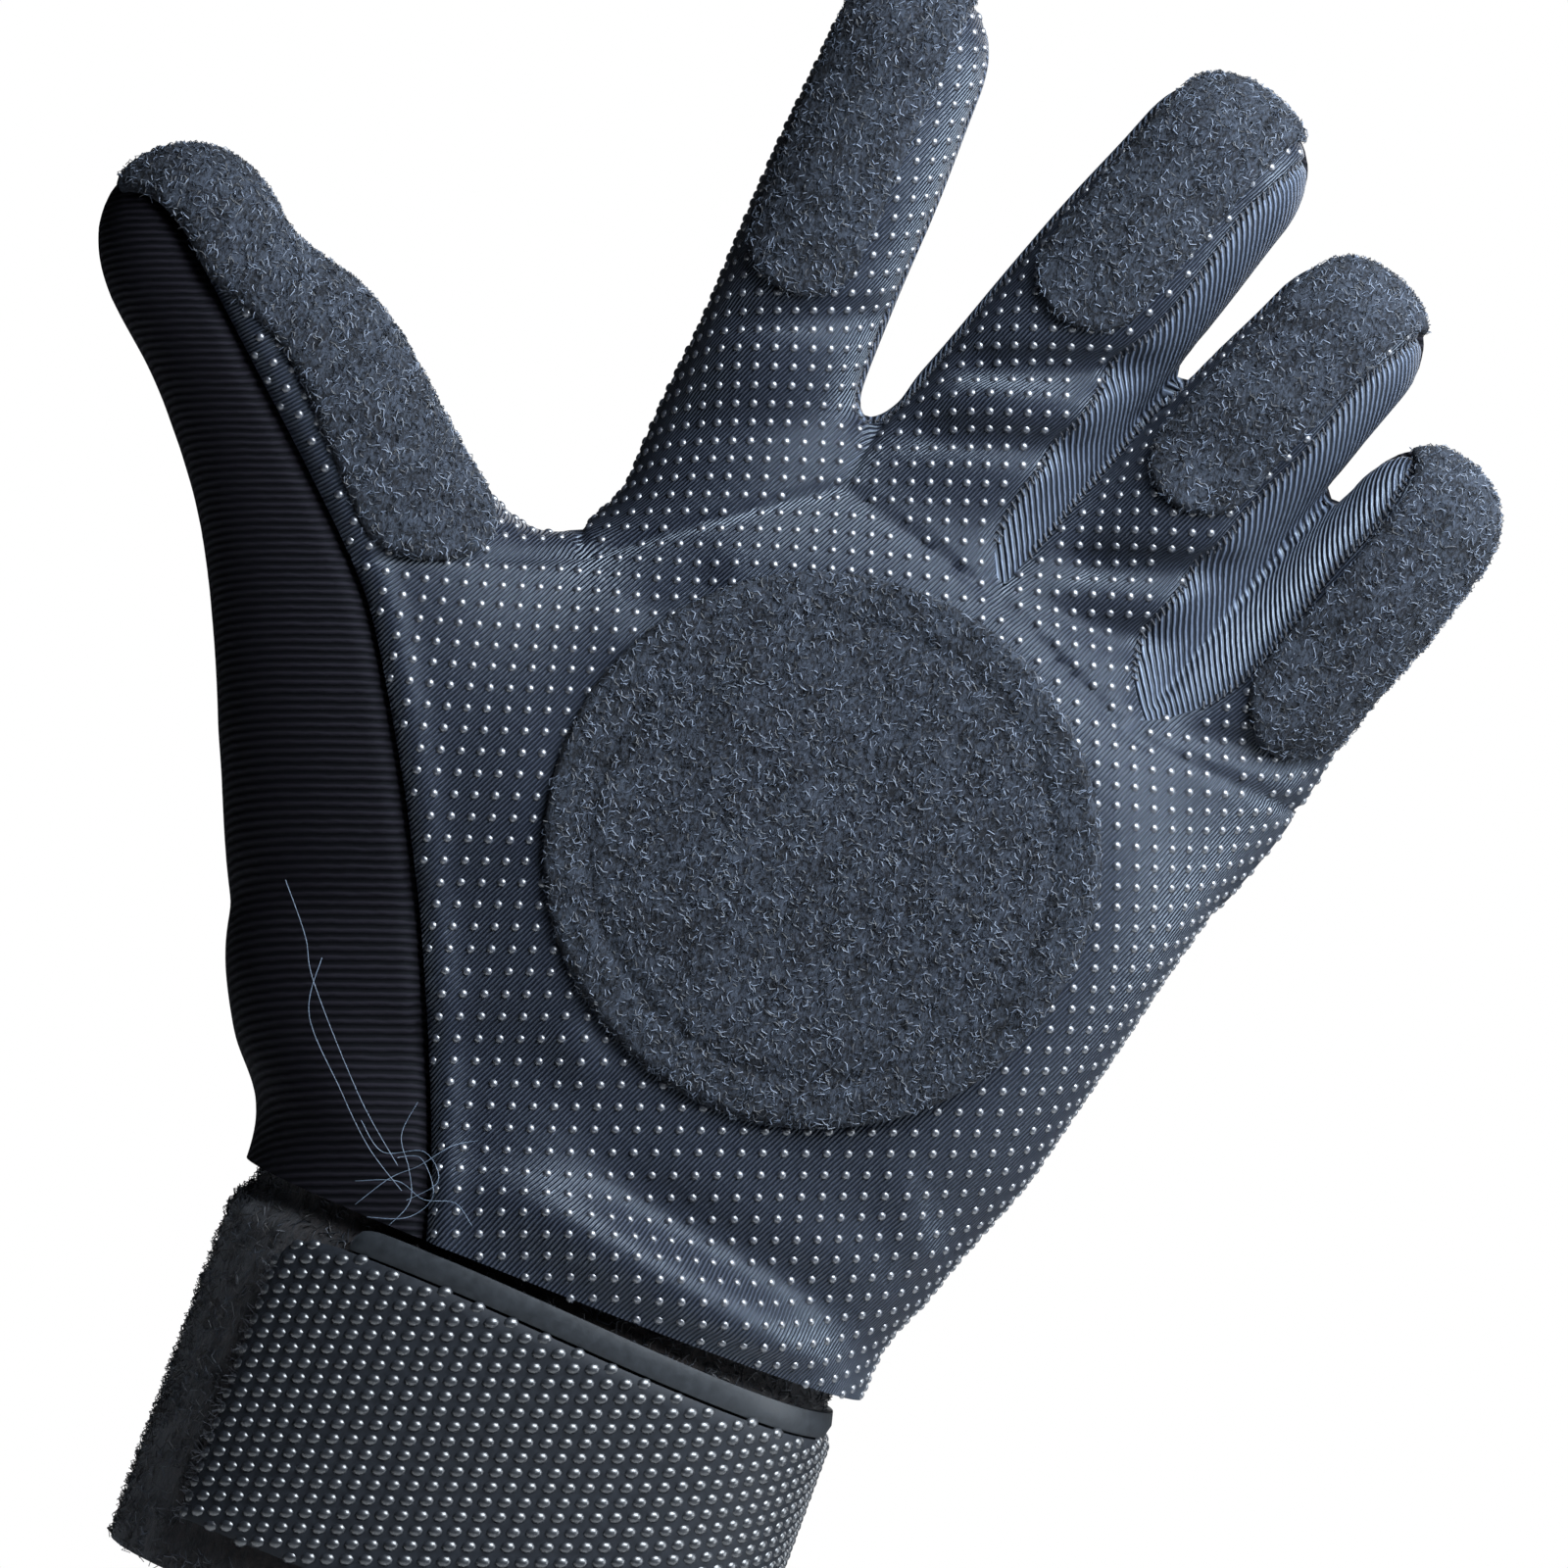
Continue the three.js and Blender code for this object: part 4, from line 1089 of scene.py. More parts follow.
def new_piece(name, points, faces, finish, slot, replaces=(), cloth=None, sharp=50, strands=0):
    """A mesh of the object, on its body, with its finish. Each of its strands gets a tone of its own."""
    mesh = raw_mesh(name, points, faces)
    if strands:
        tones = np.random.default_rng(len(points)).random(strands)
        layer = mesh.attributes.new("tone", "FLOAT", "POINT")
        layer.data.foreach_set("value", np.repeat(tones, len(points) // strands).astype(np.float32))
    if cloth is not None:
        layer = mesh.attributes.new("cloth", "FLOAT_VECTOR", "POINT")
        flat = np.zeros((len(points), 3), np.float32)
        flat[:, :2] = cloth
        layer.data.foreach_set("vector", flat.ravel())
    mesh.shade_smooth()
    mesh.set_sharp_from_angle(angle=math.radians(sharp))
    mesh.materials.append(finish_of(finish))
    piece = bpy.data.objects.new(name, mesh)
    bpy.context.scene.collection.objects.link(piece)
    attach(piece, "root")
    if replaces:
        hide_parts(*replaces)
    return piece


def panel(label, name, finish, slot, node, skew):
    """One cloth panel of the hand as a closed body with its edges turned in at the seams."""
    hand = hand_surface()
    own = hand["faces"][hand["label"] == label]
    points, faces, normals, plain = only(hand["points"], own, hand["normals"], hand["plain"])
    across, along = cloth_frame(points, normals, skew(points))
    spread = (1.13 - 0.18 * mm_step(75 * MM, 160 * MM, points[:, 2]))[:, None]
    flat = unrolled(points, faces, across / spread, along / spread)
    seam = np.abs(front_level(plain))
    strips = {PALM: (), BACK: range(len(CROTCHES_UP))}.get(label, (label - 1,))
    for i in strips:
        seam = np.minimum(seam, np.abs(strip_level(plain, i)))
    outer = -SEAM_SINK * bell(seam, SEAM_SPREAD)
    beside = np.where(points[:, 1] < 2 * MM, distance_to_line(points[:, 0], points[:, 2], SEAM_LINE), 1)
    if label == PALM:
        outer += CREST_RISE * bell(beside - CREST_AWAY, CREST_SPREAD)
        outer += PAD_SWELLING * mm_step(-14 * MM, -1 * MM, palm_pad_level(points))
    elif label == BACK:
        outer -= GROOVE_SINK * bell(beside, GROOVE_SPREAD)
    inner = np.minimum(outer, 0) - sizes().cloth_wall
    body = closed_body(points + normals * outer[:, None], points + normals * inner[:, None], faces)
    return new_piece(name, *body, finish, slot, (node,), np.concatenate([flat, flat]))


def rows_skew(points):
    """How far the palm cloth's rows of dots are turned from square to the hand, in degrees."""
    return 20 * mm_step(-75 * MM, -28 * MM, points[:, 0])


def rib_skew(points):
    """Ribs run square to each digit, and on the side of the hand as far round as its rows."""
    tilt, share = digit_tilt(points)
    return 20 * (1 - share) - tilt


def strip_skew(points):
    """The weave of a strip runs along its finger."""
    return -digit_tilt(points)[0]


def digit_tilt(points):
    """The tilt of the digit that each point belongs to, and how much it belongs to it."""
    tilt, share = np.zeros(len(points)), np.zeros(len(points))
    for i, digit in enumerate(DIGITS):
        local = to_digit(points, digit)
        start, full = (20 * MM, 60 * MM) if digit is THUMB else (8 * MM, 28 * MM)
        weight = mm_step(start, full, local[:, 2]) * (cell_depth(points, i) > 0)
        tilt += weight * (digit["tilt"] - tilt)
        share = np.maximum(share, weight)
    return tilt, share


class GLOVE_OT_hand_panels(bpy.types.Operator):
    """Make the palm, the back and the ribbed strips between the fingers"""

    bl_idname = "glove.hand_panels"
    bl_label = "Hand panels"

    def execute(self, context):
        panel(PALM, "palm_cloth", "palm_twill", "palm_cloth", "palm_panel", rows_skew)
        panel(BACK, "back_cloth", "back_rib", "back_cloth", "back_panel", rib_skew)
        for i, between in enumerate(("index_middle", "middle_ring", "ring_little")):
            panel(i + 1, f"strip_{between}", "strip_rib", "rib_knit", f"side_strip_{between}", strip_skew)
        return {"FINISHED"}


def domes(centres, normals, half_width, height, sides=8, long_way=None, stretch=1.0):
    """Small closed domes as one mesh. long_way and stretch draw each one out in a direction."""
    rings = [(1.0, -0.5), (0.9, 0.32), (0.54, 0.82)]
    if long_way is None:
        long_way = np.where(np.abs(normals[:, :1]) < 0.8, [[1.0, 0, 0]], [[0, 0, 1.0]])
    first = in_surface(long_way, normals)
    second = np.cross(normals, first)
    points = []
    for out, up in rings:
        for angle in angles_round(sides):
            aside = math.cos(angle) * stretch * first + math.sin(angle) * second
            points.append(centres + out * half_width * aside + up * height * normals)
    points.append(centres + normals * height)
    side, top = np.arange(sides), (len(rings) - 1) * sides
    faces = np.concatenate([
        ring_faces(len(rings), sides),
        np.stack([top + side, top + (side + 1) % sides, np.full(sides, top + sides)], 1),
        end_fan(sides)])
    return repeated(np.stack(points, axis=1), faces)


def end_fan(sides):
    """Triangles that close the first ring of a body."""
    return np.array([(0, side + 1, side) for side in range(1, sides - 1)])


def on_lattice(flat, points, faces, normals, pitch):
    """Places and normals on a surface where the corners of a square lattice in its flat coordinates fall."""
    corners = flat[faces] / pitch
    middle = corners.mean(1)
    found_points, found_normals = [], []
    for shift in ((0, 0), (0, 1), (1, 0), (1, 1)):
        target = np.floor(middle) + shift
        a, b, c = (corners[:, i] - target for i in range(3))
        areas = np.stack([p[:, 0] * q[:, 1] - p[:, 1] * q[:, 0] for p, q in ((b, c), (c, a), (a, b))], axis=1)
        total = areas.sum(1, keepdims=True)
        shares = areas / np.where(total == 0, 1, total)
        hit = (shares >= 0).all(1) & (total[:, 0] != 0)
        found_points.append((points[faces[hit]] * shares[hit][..., None]).sum(1))
        found_normals.append(unit((normals[faces[hit]] * shares[hit][..., None]).sum(1)))
    return np.concatenate(found_points), np.concatenate(found_normals)


def piece_surface(name):
    """The outer half of a panel: points, faces, normals and flat coordinates."""
    mesh = bpy.data.objects[name].data
    points, faces = triangles_of(mesh)
    half = len(points) // 2
    flat = np.zeros(len(points) * 3, np.float32)
    mesh.attributes["cloth"].data.foreach_get("vector", flat)
    faces = faces[(faces < half).all(1)]
    points = points[:half]
    return points, faces, point_normals(points, faces), flat.reshape(-1, 3)[:half, :2].astype(float)


class GLOVE_OT_palm_dots(bpy.types.Operator):
    """Set rows of raised grip dots into the palm's cloth"""

    bl_idname = "glove.palm_dots"
    bl_label = "Grip dots"

    def execute(self, context):
        size = sizes()
        points, faces, normals, flat = piece_surface("palm_cloth")
        centres, up = on_lattice(flat, points, faces, normals, size.dot_pitch)
        bare = (palm_pad_level(centres) < 0.2 * MM) & (np.abs(front_level(centres)) > 0.6 * MM)
        for digit in DIGITS:
            bare &= pad_level(centres, digit) < 0.3 * MM
        centres, up = centres[bare], up[bare]
        dots = domes(centres, up, size.dot_diameter / 2, size.dot_height)
        new_piece("palm_dots", *dots, "grip_dot", "palm_cloth", sharp=80)
        self.report({"INFO"}, f"{len(centres)} dots")
        return {"FINISHED"}


def subdivided(points, faces):
    """Each triangle as four."""
    first, second, place = shared_sides(faces, len(points))
    added = (points[first] + points[second]) / 2
    a, b, c = faces.T
    p, q, r = place.T + len(points)
    return np.concatenate([points, added]), np.concatenate([
        np.stack(corners, 1) for corners in ((a, r, q), (r, b, p), (q, p, c), (p, q, r))])


def fine_noise(points, cell_size, seed):
    """Smooth noise, -1 to 1, the same each time."""
    shift = Vector((seed * 17.3, seed * 5.1, seed * 9.7))
    return np.array([noise.noise(Vector(point) / cell_size + shift) for point in points])


def loops_on(points, faces, normals, per_area, height, thickness, seed, keep=None):
    """Small arches of thread that stand on a surface, as one mesh."""
    rng = np.random.default_rng(seed)
    a, b, c = (points[faces[:, i]] for i in range(3))
    area = np.linalg.norm(np.cross(b - a, c - a), axis=1) / 2
    count = int(area.sum() * per_area)
    chosen = rng.choice(len(faces), count, p=area / area.sum())
    u, v = rng.random((2, count, 1))
    u, v = np.where(u + v > 1, 1 - u, u), np.where(u + v > 1, 1 - v, v)
    start = a[chosen] + u * (b[chosen] - a[chosen]) + v * (c[chosen] - a[chosen])
    up = unit(normals[faces[chosen]].mean(1))
    side = in_surface(rng.normal(size=(count, 3)), up)
    width = rng.uniform(1.2, 3.2, (count, 1)) * height
    tall = rng.uniform(0.35, 1.1, (count, 1)) * height
    if keep is not None:
        kept = keep(start)
        start, up, side, width, tall = (value[kept] for value in (start, up, side, width, tall))
    twist = np.cross(up, side)
    bend = rng.uniform(-0.45, 0.45, (len(start), 1)) * width
    path = [
        start - up * 0.3 * height - side * width * 0.5,
        start + up * tall + twist * bend,
        start + side * width * 0.6,
    ]
    return tubes(np.stack(path, axis=1), thickness / 2, 3)


def tubes(paths, radius, sides):
    """Closed thin tubes along many paths of equal length, as one mesh."""
    count, steps, _ = paths.shape
    tangent = unit(np.gradient(paths, axis=1))
    helper = np.where(np.abs(tangent[..., 1:2]) < 0.9, [[[0, 1.0, 0]]], [[[1.0, 0, 0]]])
    first = unit(np.cross(tangent, helper))
    second = np.cross(tangent, first)
    angles = angles_round(sides)[:, None]
    ring = radius * (np.cos(angles) * first[:, :, None] + np.sin(angles) * second[:, :, None])
    points = (paths[:, :, None] + ring).reshape(count, -1, 3)
    foot = end_fan(sides)
    return repeated(points, np.concatenate([
        ring_faces(steps, sides), foot, (steps - 1) * sides + foot[:, [0, 2, 1]]]))


PAD_TOPS = {}
LOOP_POINTS = 9


def rounded_edge(share):
    """0 at an edge and 1 where its rounding ends, on a quarter of a circle."""
    return np.sqrt(1 - (1 - np.clip(share, 0, 1)) ** 2)


class GLOVE_OT_finger_pads(bpy.types.Operator):
    """Lay a loop pad over the tip of each digit"""

    bl_idname = "glove.finger_pads"
    bl_label = "Finger pads"

    def execute(self, context):
        size = sizes()
        hand = hand_surface()
        for i, (digit, name) in enumerate(zip(DIGITS, DIGIT_NAMES)):
            near = pad_level(hand["points"], digit) > -4 * MM
            points, faces = only(hand["points"], hand["faces"][near[hand["faces"]].all(1)])
            points, faces, inside = cut_along(points, faces, lambda p, digit=digit: pad_level(p, digit))
            points, faces = subdivided(*only(points, faces[inside]))
            normals = point_normals(points, faces)
            level = np.maximum(pad_level(points, digit), 0)
            edge = rounded_edge(level / PAD_RIM)
            pile = 0.22 * MM * fine_noise(points, 0.9 * MM, i)
            pile += 0.12 * MM * fine_noise(points, 0.4 * MM, i + 9)
            thickness = size.pad_thickness * (0.25 + 0.75 * mm_step(-0.1, 0.6, -normals[:, 1]))
            outer = SEAT_GAP + thickness * (0.35 + 0.65 * edge) + pile * edge - 0.25 * MM
            top = points + normals * outer[:, None]
            body = closed_body(top, points + normals * 0.1 * MM, faces)
            PAD_TOPS[name] = (top, faces, normals)
            pad = new_piece(f"{name}_loop_pad", *body, "loop_felt", "loop_felt", (f"{name}_pad",), sharp=60)
        return {"FINISHED"}


class GLOVE_OT_palm_pad(bpy.types.Operator):
    """Sew the round loop pad onto the palm"""

    bl_idname = "glove.palm_pad"
    bl_label = "Palm pad"

    def execute(self, context):
        radius = PAD_DIAMETER / 2
        turned, centre = palm_pad_matrix()
        rings, sides = PAD_GRID
        out = np.linspace(0, radius, rings)[1:]
        radii, around = flat_grid(out, angles_round(sides))
        wobble = 1 + 0.004 * np.sin(3 * around + 0.6) + 0.003 * np.sin(7 * around)
        x, y = radii * wobble * np.cos(around), radii * wobble * np.sin(around)
        points = np.concatenate([[[0, 0, 0]], np.stack([x, y, np.zeros(len(x))], 1)])
        level, side = flat_grid(np.arange(rings - 2), np.arange(sides))
        a, b = 1 + level * sides + side, 1 + level * sides + (side + 1) % sides
        after = (np.arange(sides) + 1) % sides
        faces = np.concatenate([
            np.stack([a, a + sides, b + sides], 1), np.stack([a, b + sides, b], 1),
            np.stack([np.zeros(sides, int), 1 + np.arange(sides), 1 + after], 1)])
        distance = np.hypot(points[:, 0], points[:, 1])
        top = PAD_THICKNESS - PAD_RIM * (1 - rounded_edge((radius - distance) / PAD_RIM))
        press = radius - PAD_PRESS_INSET - PAD_PRESS_WIDTH / 2
        top -= PAD_PRESS_DEPTH * bell(distance - press, 0.6 * PAD_PRESS_WIDTH)
        top += 0.2 * MM * fine_noise(points, 1.1 * MM, 21) + 0.1 * MM * fine_noise(points, 0.5 * MM, 22)
        top += 0.5 * MM * fine_noise(points, 22 * MM, 23) - 0.3 * MM
        surface, under = (
            np.stack([points[:, 0], points[:, 1], height], 1) @ turned.T + centre
            for height in (top, np.full(len(points), -2.2 * MM)))
        body = closed_body(surface, under, faces)
        PAD_TOPS["palm"] = (surface, faces, point_normals(surface, faces))
        pad = new_piece("palm_loop_pad", *body, "loop_felt", "loop_felt", ("palm_pad",), sharp=60)
        return {"FINISHED"}


class GLOVE_OT_pad_pile(bpy.types.Operator):
    """Stand small loops of thread on the pads"""

    bl_idname = "glove.pad_pile"
    bl_label = "Pile of the pads"

    def execute(self, context):
        size = sizes()
        loop = size.loop_height, size.loop_thickness
        fingers = joined([
            loops_on(*PAD_TOPS[name], FINGER_PILE, *loop, 40 + i) for i, name in enumerate(DIGIT_NAMES)])
        palm = loops_on(*PAD_TOPS["palm"], PALM_PILE, *loop, 50)
        for name, (points, faces) in (("finger_pad_pile", fingers), ("palm_pad_pile", palm)):
            strands = len(points) // LOOP_POINTS
            new_piece(name, points, faces, "felt_fibre", "loop_felt", sharp=80, strands=strands)
        return {"FINISHED"}


# Cuff and strap

def cuff_outline(angles, grow=0.0, slim=0.0):
    """X and Y of the cuff's outline, grown or slimmed where it is tucked into the hem."""
    half_breadth, half_depth = (size / 2 - TUCK_SLIMMING * slim + grow for size in (CUFF_BREADTH, CUFF_DEPTH))
    across, deep = rounded_outline(angles, half_breadth, half_depth, half_depth, CUFF_SQUARE)
    return across + CUFF_SHIFT * (1 - slim), deep


def even_angles(count):
    """Angles whose points lie at even distances round the cuff."""
    angles = np.linspace(0, 2 * np.pi, 2000)
    walked = walked_along(*cuff_outline(angles))
    return np.interp(np.linspace(0, walked[-1], count, endpoint=False), walked, angles)


def standing(x, y, heights):
    """Points of a wall over an outline, row by row."""
    return np.stack(np.broadcast_arrays(x, y, heights), axis=2).reshape(-1, 3)


STRAP_TOP = STRAP_FOOT + STRAP_WIDTH
TAPE_FOOT = STRAP_TOP + SEAM_GAP
TAPE_TOP = TAPE_FOOT + TAPE_WIDTH


class GLOVE_OT_cuff(bpy.types.Operator):
    """Wrap the tube of loop cloth round the wrist"""

    bl_idname = "glove.cuff"
    bl_label = "Cuff"

    def execute(self, context):
        levels, sides = CUFF_GRID
        heights = np.linspace(0, HEM_HEIGHT + CUFF_TUCK, levels)
        slim = np.clip((heights - TAPE_TOP) / (HEM_HEIGHT - TAPE_TOP), 0, 1)[:, None]
        around = even_angles(sides)[None]
        outer, inner = (
            standing(*cuff_outline(around, grow, slim), heights[:, None]) for grow in (0, -CUFF_WALL))
        rough = 0.15 * MM * fine_noise(outer, 1.3 * MM, 31)
        outer = outer + unit(outer * [1, 1, 0]) * (rough - 0.1 * MM)[:, None]
        faces = ring_faces(levels, sides)
        body = closed_body(outer, inner, faces)
        new_piece("cuff_tube", *body, "cuff_pile", "cuff_loop_cloth", ("cuff_band",), sharp=60)
        normals = point_normals(outer, faces)

        def shows(places):
            under_strap = (places[:, 2] > STRAP_FOOT) & (places[:, 2] < TAPE_TOP) & (
                places[:, 0] > np.where(places[:, 1] < 0, STRAP_END, STRAP_TAIL))
            return ~under_strap & (places[:, 2] < HEM_HEIGHT + HEM_RISE)

        pile = loops_on(outer, faces, normals, CUFF_PILE, 0.8 * MM, sizes().loop_thickness, 60, keep=shows)
        strands = len(pile[0]) // LOOP_POINTS
        new_piece("cuff_pile_loops", *pile, "cuff_fibre", "cuff_loop_cloth", sharp=80, strands=strands)
        return {"FINISHED"}


def band_grid(foot, top, inner, thickness, end_in_front, corner, step):
    """A band round the cuff from its end in front, round the far side, to its tail behind.

    Returns its closed body, and its outer face as points, faces and normals with flat coordinates.
    """
    angles = even_angles(OUTLINE_STEPS)
    x, y = cuff_outline(angles, inner + thickness)
    start = np.flatnonzero((y < 0) & (x > end_in_front))[0]
    stop = np.flatnonzero((y > 0) & (x > STRAP_TAIL))[-1]
    run = np.arange(start, stop + 1 + (OUTLINE_STEPS if stop < start else 0)) % OUTLINE_STEPS
    walked = walked_along(x[run], y[run])
    columns = int(walked[-1] / step)
    places = np.linspace(0, walked[-1], columns)
    around = np.interp(places, walked, np.unwrap(angles[run]))[None]
    rows = max(int((top - foot) / step), 3)
    share = np.linspace(0, 1, rows)[:, None]
    lost = np.where(places < corner, corner / 2 * (1 - rounded_edge(places / corner)), 0)
    lift = STRAP_LIFT * mm_step(80 * MM, 12 * MM, places + end_in_front - STRAP_END)
    heights = foot + share * (top - foot - lost[None]) + lift[None]
    away = np.minimum.reduce(np.broadcast_arrays(
        places, places[-1] - places, heights - heights[:1], heights[-1:] - heights))
    full = rounded_edge(away / BAND_EDGE)
    outer = standing(*cuff_outline(around, inner + thickness - BAND_EDGE * (1 - full)), heights)
    under = standing(*cuff_outline(around, inner), heights)
    row, column = flat_grid(np.arange(rows - 1), np.arange(columns - 1))
    a = row * columns + column
    faces = np.concatenate([
        np.stack([a, a + 1, a + 1 + columns], 1), np.stack([a, a + 1 + columns, a + columns], 1)])
    flat = np.stack(np.broadcast_arrays(places, heights), axis=2).reshape(-1, 2)
    return closed_body(outer, under, faces), (outer, faces, point_normals(outer, faces), flat)


class GLOVE_OT_strap(bpy.types.Operator):
    """Fasten the embossed wrist strap and its smooth edge tape"""

    bl_idname = "glove.strap"
    bl_label = "Wrist strap"

    def execute(self, context):
        size = sizes()
        body, (outer, faces, normals, flat) = band_grid(
            STRAP_FOOT, STRAP_TOP, SEAT_GAP, size.strap_thickness, STRAP_END, STRAP_CORNER, 1.1 * MM)
        new_piece("strap_band", *body, "strap_face", "strap_plastic", ("wrist_strap",))
        aside = flat[:, 0] / KNOB_ASIDE
        upward = (flat[:, 1] - aside * KNOB_SHIFT * size.knob_pitch) / size.knob_pitch
        centres, up = on_lattice(np.stack([aside, upward], axis=1), outer, faces, normals, 1.0)
        long_way = unit(np.cross([[0, 0, 1.0]], up) + np.array([[0, 0, 0.45]]))
        knobs = domes(
            centres - up * 0.15 * MM, up, KNOB_WIDTH, KNOB_HEIGHT, long_way=long_way, stretch=KNOB_STRETCH)
        new_piece("strap_knobs", *knobs, "strap_knob", "strap_plastic", sharp=80)
        tape, _ = band_grid(
            TAPE_FOOT, TAPE_TOP, SEAT_GAP, size.tape_thickness, TAPE_END, TAPE_WIDTH, 0.9 * MM)
        new_piece("edge_tape", *tape, "tape_face", "tape_plastic", ("strap_edge_tape",))
        rng = np.random.default_rng(70)
        ends = outer[flat[:, 0] < 0.2 * MM]
        fray = rng.choice(len(ends), FRAY_THREADS)
        start = ends[fray] + rng.normal(0, 0.5 * MM, (FRAY_THREADS, 3)) * [0, 1, 1]
        outward = -rng.uniform(0.2, 1.6, FRAY_THREADS)
        deep, upward = (rng.normal(*spread, FRAY_THREADS) for spread in ((0, 0.4), (0.2, 0.6)))
        way = np.stack([outward, deep, upward], 1) * MM
        bend = rng.normal(0, 0.4 * MM, (FRAY_THREADS, 3))
        path = np.stack([
            start + [0.6 * MM, 0, 0], start, start + way * 0.6 + bend * 0.5, start + way + bend], axis=1)
        new_piece("strap_fray", *tubes(path, 0.06 * MM, 3), "thread", "strap_plastic", sharp=80)
        return {"FINISHED"}


# Loose threads on the glove's face, in shares of the palm, and how far off it they hang
THREAD_LINES = [
    ((-0.489, 0.413), (-0.44, 0.35), (-0.408, 0.293), (-0.305, 0.172), (-0.226, 0.1)),
    ((-0.41, 0.33), (-0.4, 0.25), (-0.33, 0.17), (-0.27, 0.11), (-0.21, 0.07)),
    ((-0.29, 0.14), (-0.25, 0.11), (-0.2, 0.13), (-0.17, 0.1), (-0.2, 0.06)),
    ((-0.26, 0.03), (-0.23, 0.08), (-0.2, 0.11), (-0.17, 0.15), (-0.14, 0.17)),
    ((-0.24, 0.02), (-0.19, 0.04), (-0.17, 0.08), (-0.2, 0.12), (-0.23, 0.11)),
    ((-0.21, 0.02), (-0.195, 0.06), (-0.21, 0.1), (-0.235, 0.14), (-0.23, 0.19)),
    ((-0.27, 0.06), (-0.22, 0.08), (-0.18, 0.07), (-0.14, 0.08), (-0.11, 0.06)),
]
THREAD_OFF = 0.5 * MM


class GLOVE_OT_loose_threads(bpy.types.Operator):
    """Lay the stray threads over the hand's lower left side"""

    bl_idname = "glove.loose_threads"
    bl_label = "Loose threads"

    def execute(self, context):
        hand = hand_surface()
        front = hand["points"][hand["points"][:, 1] < 5 * MM]
        steps, paths = 40, []
        for i, line in enumerate(THREAD_LINES):
            rows = [(k, palm_x(across), palm_z(up)) for k, (across, up) in enumerate(line)]
            found = curve_through(rows, ("k", "x", "z"), np.linspace(0, len(line) - 1, steps))
            x, z = found["x"], found["z"]
            over = []
            for here in zip(x, z):
                near = np.hypot(front[:, 0] - here[0], front[:, 2] - here[1]) < 2.5 * MM
                over.append(front[near, 1].min())
            wave = 0.4 * MM * (1 + np.sin(np.linspace(0, 9 + i, steps)))
            smooth = np.convolve(np.pad(over, 4, mode="edge"), np.full(9, 1 / 9), mode="valid")
            paths.append(np.stack([x, np.minimum(smooth, over) - THREAD_OFF - wave, z], axis=1))
        body = tubes(np.stack(paths), 0.05 * MM, 5)
        new_piece("loose_threads", *body, "loose_thread", "palm_cloth", sharp=80)
        return {"FINISHED"}


class GLOVE_OT_seam_stitches(bpy.types.Operator):
    """Sew the overlock stitches along the hand's outer edge and the strips' seams"""

    bl_idname = "glove.seam_stitches"
    bl_label = "Seam stitches"

    def execute(self, context):
        size = sizes()
        hand = hand_surface()
        points, faces, label = hand["points"], hand["faces"], hand["label"]
        stitches = []
        lift, sink = size.thread_diameter * 0.6, STITCH_SINK

        def outer_edge(p):
            return (p[:, 0] > palm_x(0.3)) & (p[:, 2] < palm_z(ULNAR_UP) + 30 * MM)

        seams = [(BACK, 1.5 * MM, outer_edge)]
        for i, low in enumerate(CROTCH_LOW):
            seams.append((i + 1, 0.5 * MM, lambda p, low=low: p[:, 2] > low[1] + 6 * MM))
        for other, reach, rule in seams:
            chains = seam_chains(points, faces, label, (PALM, other), rule)
            for places, normals, tangents in spaced_along(points, hand["normals"], chains, size.stitch_pitch):
                aside = np.cross(normals, tangents)
                onward = tangents * size.stitch_pitch
                path = [
                    places - aside * reach - normals * (sink + 0.3 * MM),
                    places - aside * reach * 0.85 + normals * (lift - sink),
                    places + onward * 0.2 + normals * (lift - sink * 1.6),
                    places + aside * reach * 0.85 + onward * 0.4 + normals * (lift - sink),
                    places + aside * reach + onward * 0.4 - normals * (sink + 0.3 * MM),
                ]
                stitches.append(tubes(np.stack(path, axis=1), size.thread_diameter / 2, 5))
        new_piece("seam_stitches", *joined(stitches), "thread", "palm_cloth", sharp=80)
        return {"FINISHED"}


def seam_chains(points, faces, label, panels, rule):
    """Chains of points along the seam between two panels, where the rule lets them be."""
    count = len(points)
    edges = (edge_keys(*rim_edges(faces[label == number]), count) for number in panels)
    a, b = np.divmod(np.intersect1d(*edges), count)
    kept = rule(points[a]) & rule(points[b])
    a, b = a[kept], b[kept]
    neighbours = {}
    for p, q in zip(a.tolist(), b.tolist()):
        neighbours.setdefault(p, []).append(q)
        neighbours.setdefault(q, []).append(p)
    chains, seen = [], set()
    for start in sorted(neighbours, key=lambda p: (len(neighbours[p]) != 1, p)):
        if start in seen:
            continue
        chain, here = [start], start
        seen.add(start)
        while True:
            onward = [q for q in neighbours[here] if q not in seen]
            if not onward:
                break
            here = onward[0]
            seen.add(here)
            chain.append(here)
        if len(chain) > 8:
            chains.append(chain)
    return chains


def spaced_along(points, normals, chains, pitch):
    """Places at even distances along chains of points, with normals and tangents."""
    for chain in chains:
        line = points[chain]
        walked = np.concatenate([[0], np.cumsum(np.linalg.norm(np.diff(line, axis=0), axis=1))])
        at = np.arange(pitch, walked[-1] - pitch, pitch)
        if len(at) < 4:
            continue

        def read_at(columns, shift=0.0):
            return np.stack([np.interp(at + shift, walked, column) for column in columns.T], axis=1)

        outward = unit(read_at(normals[chain]))
        tangent = read_at(line, 1.5 * pitch) - read_at(line, -1.5 * pitch)
        yield read_at(line), outward, in_surface(tangent, outward)


# Stage

CAMERA_LENS = 200
CAMERA_ROLL = 20
VIEW_WIDTH = 213.3 * MM
VIEW_CENTRE = (7.4 * MM, 0, 126.9 * MM)


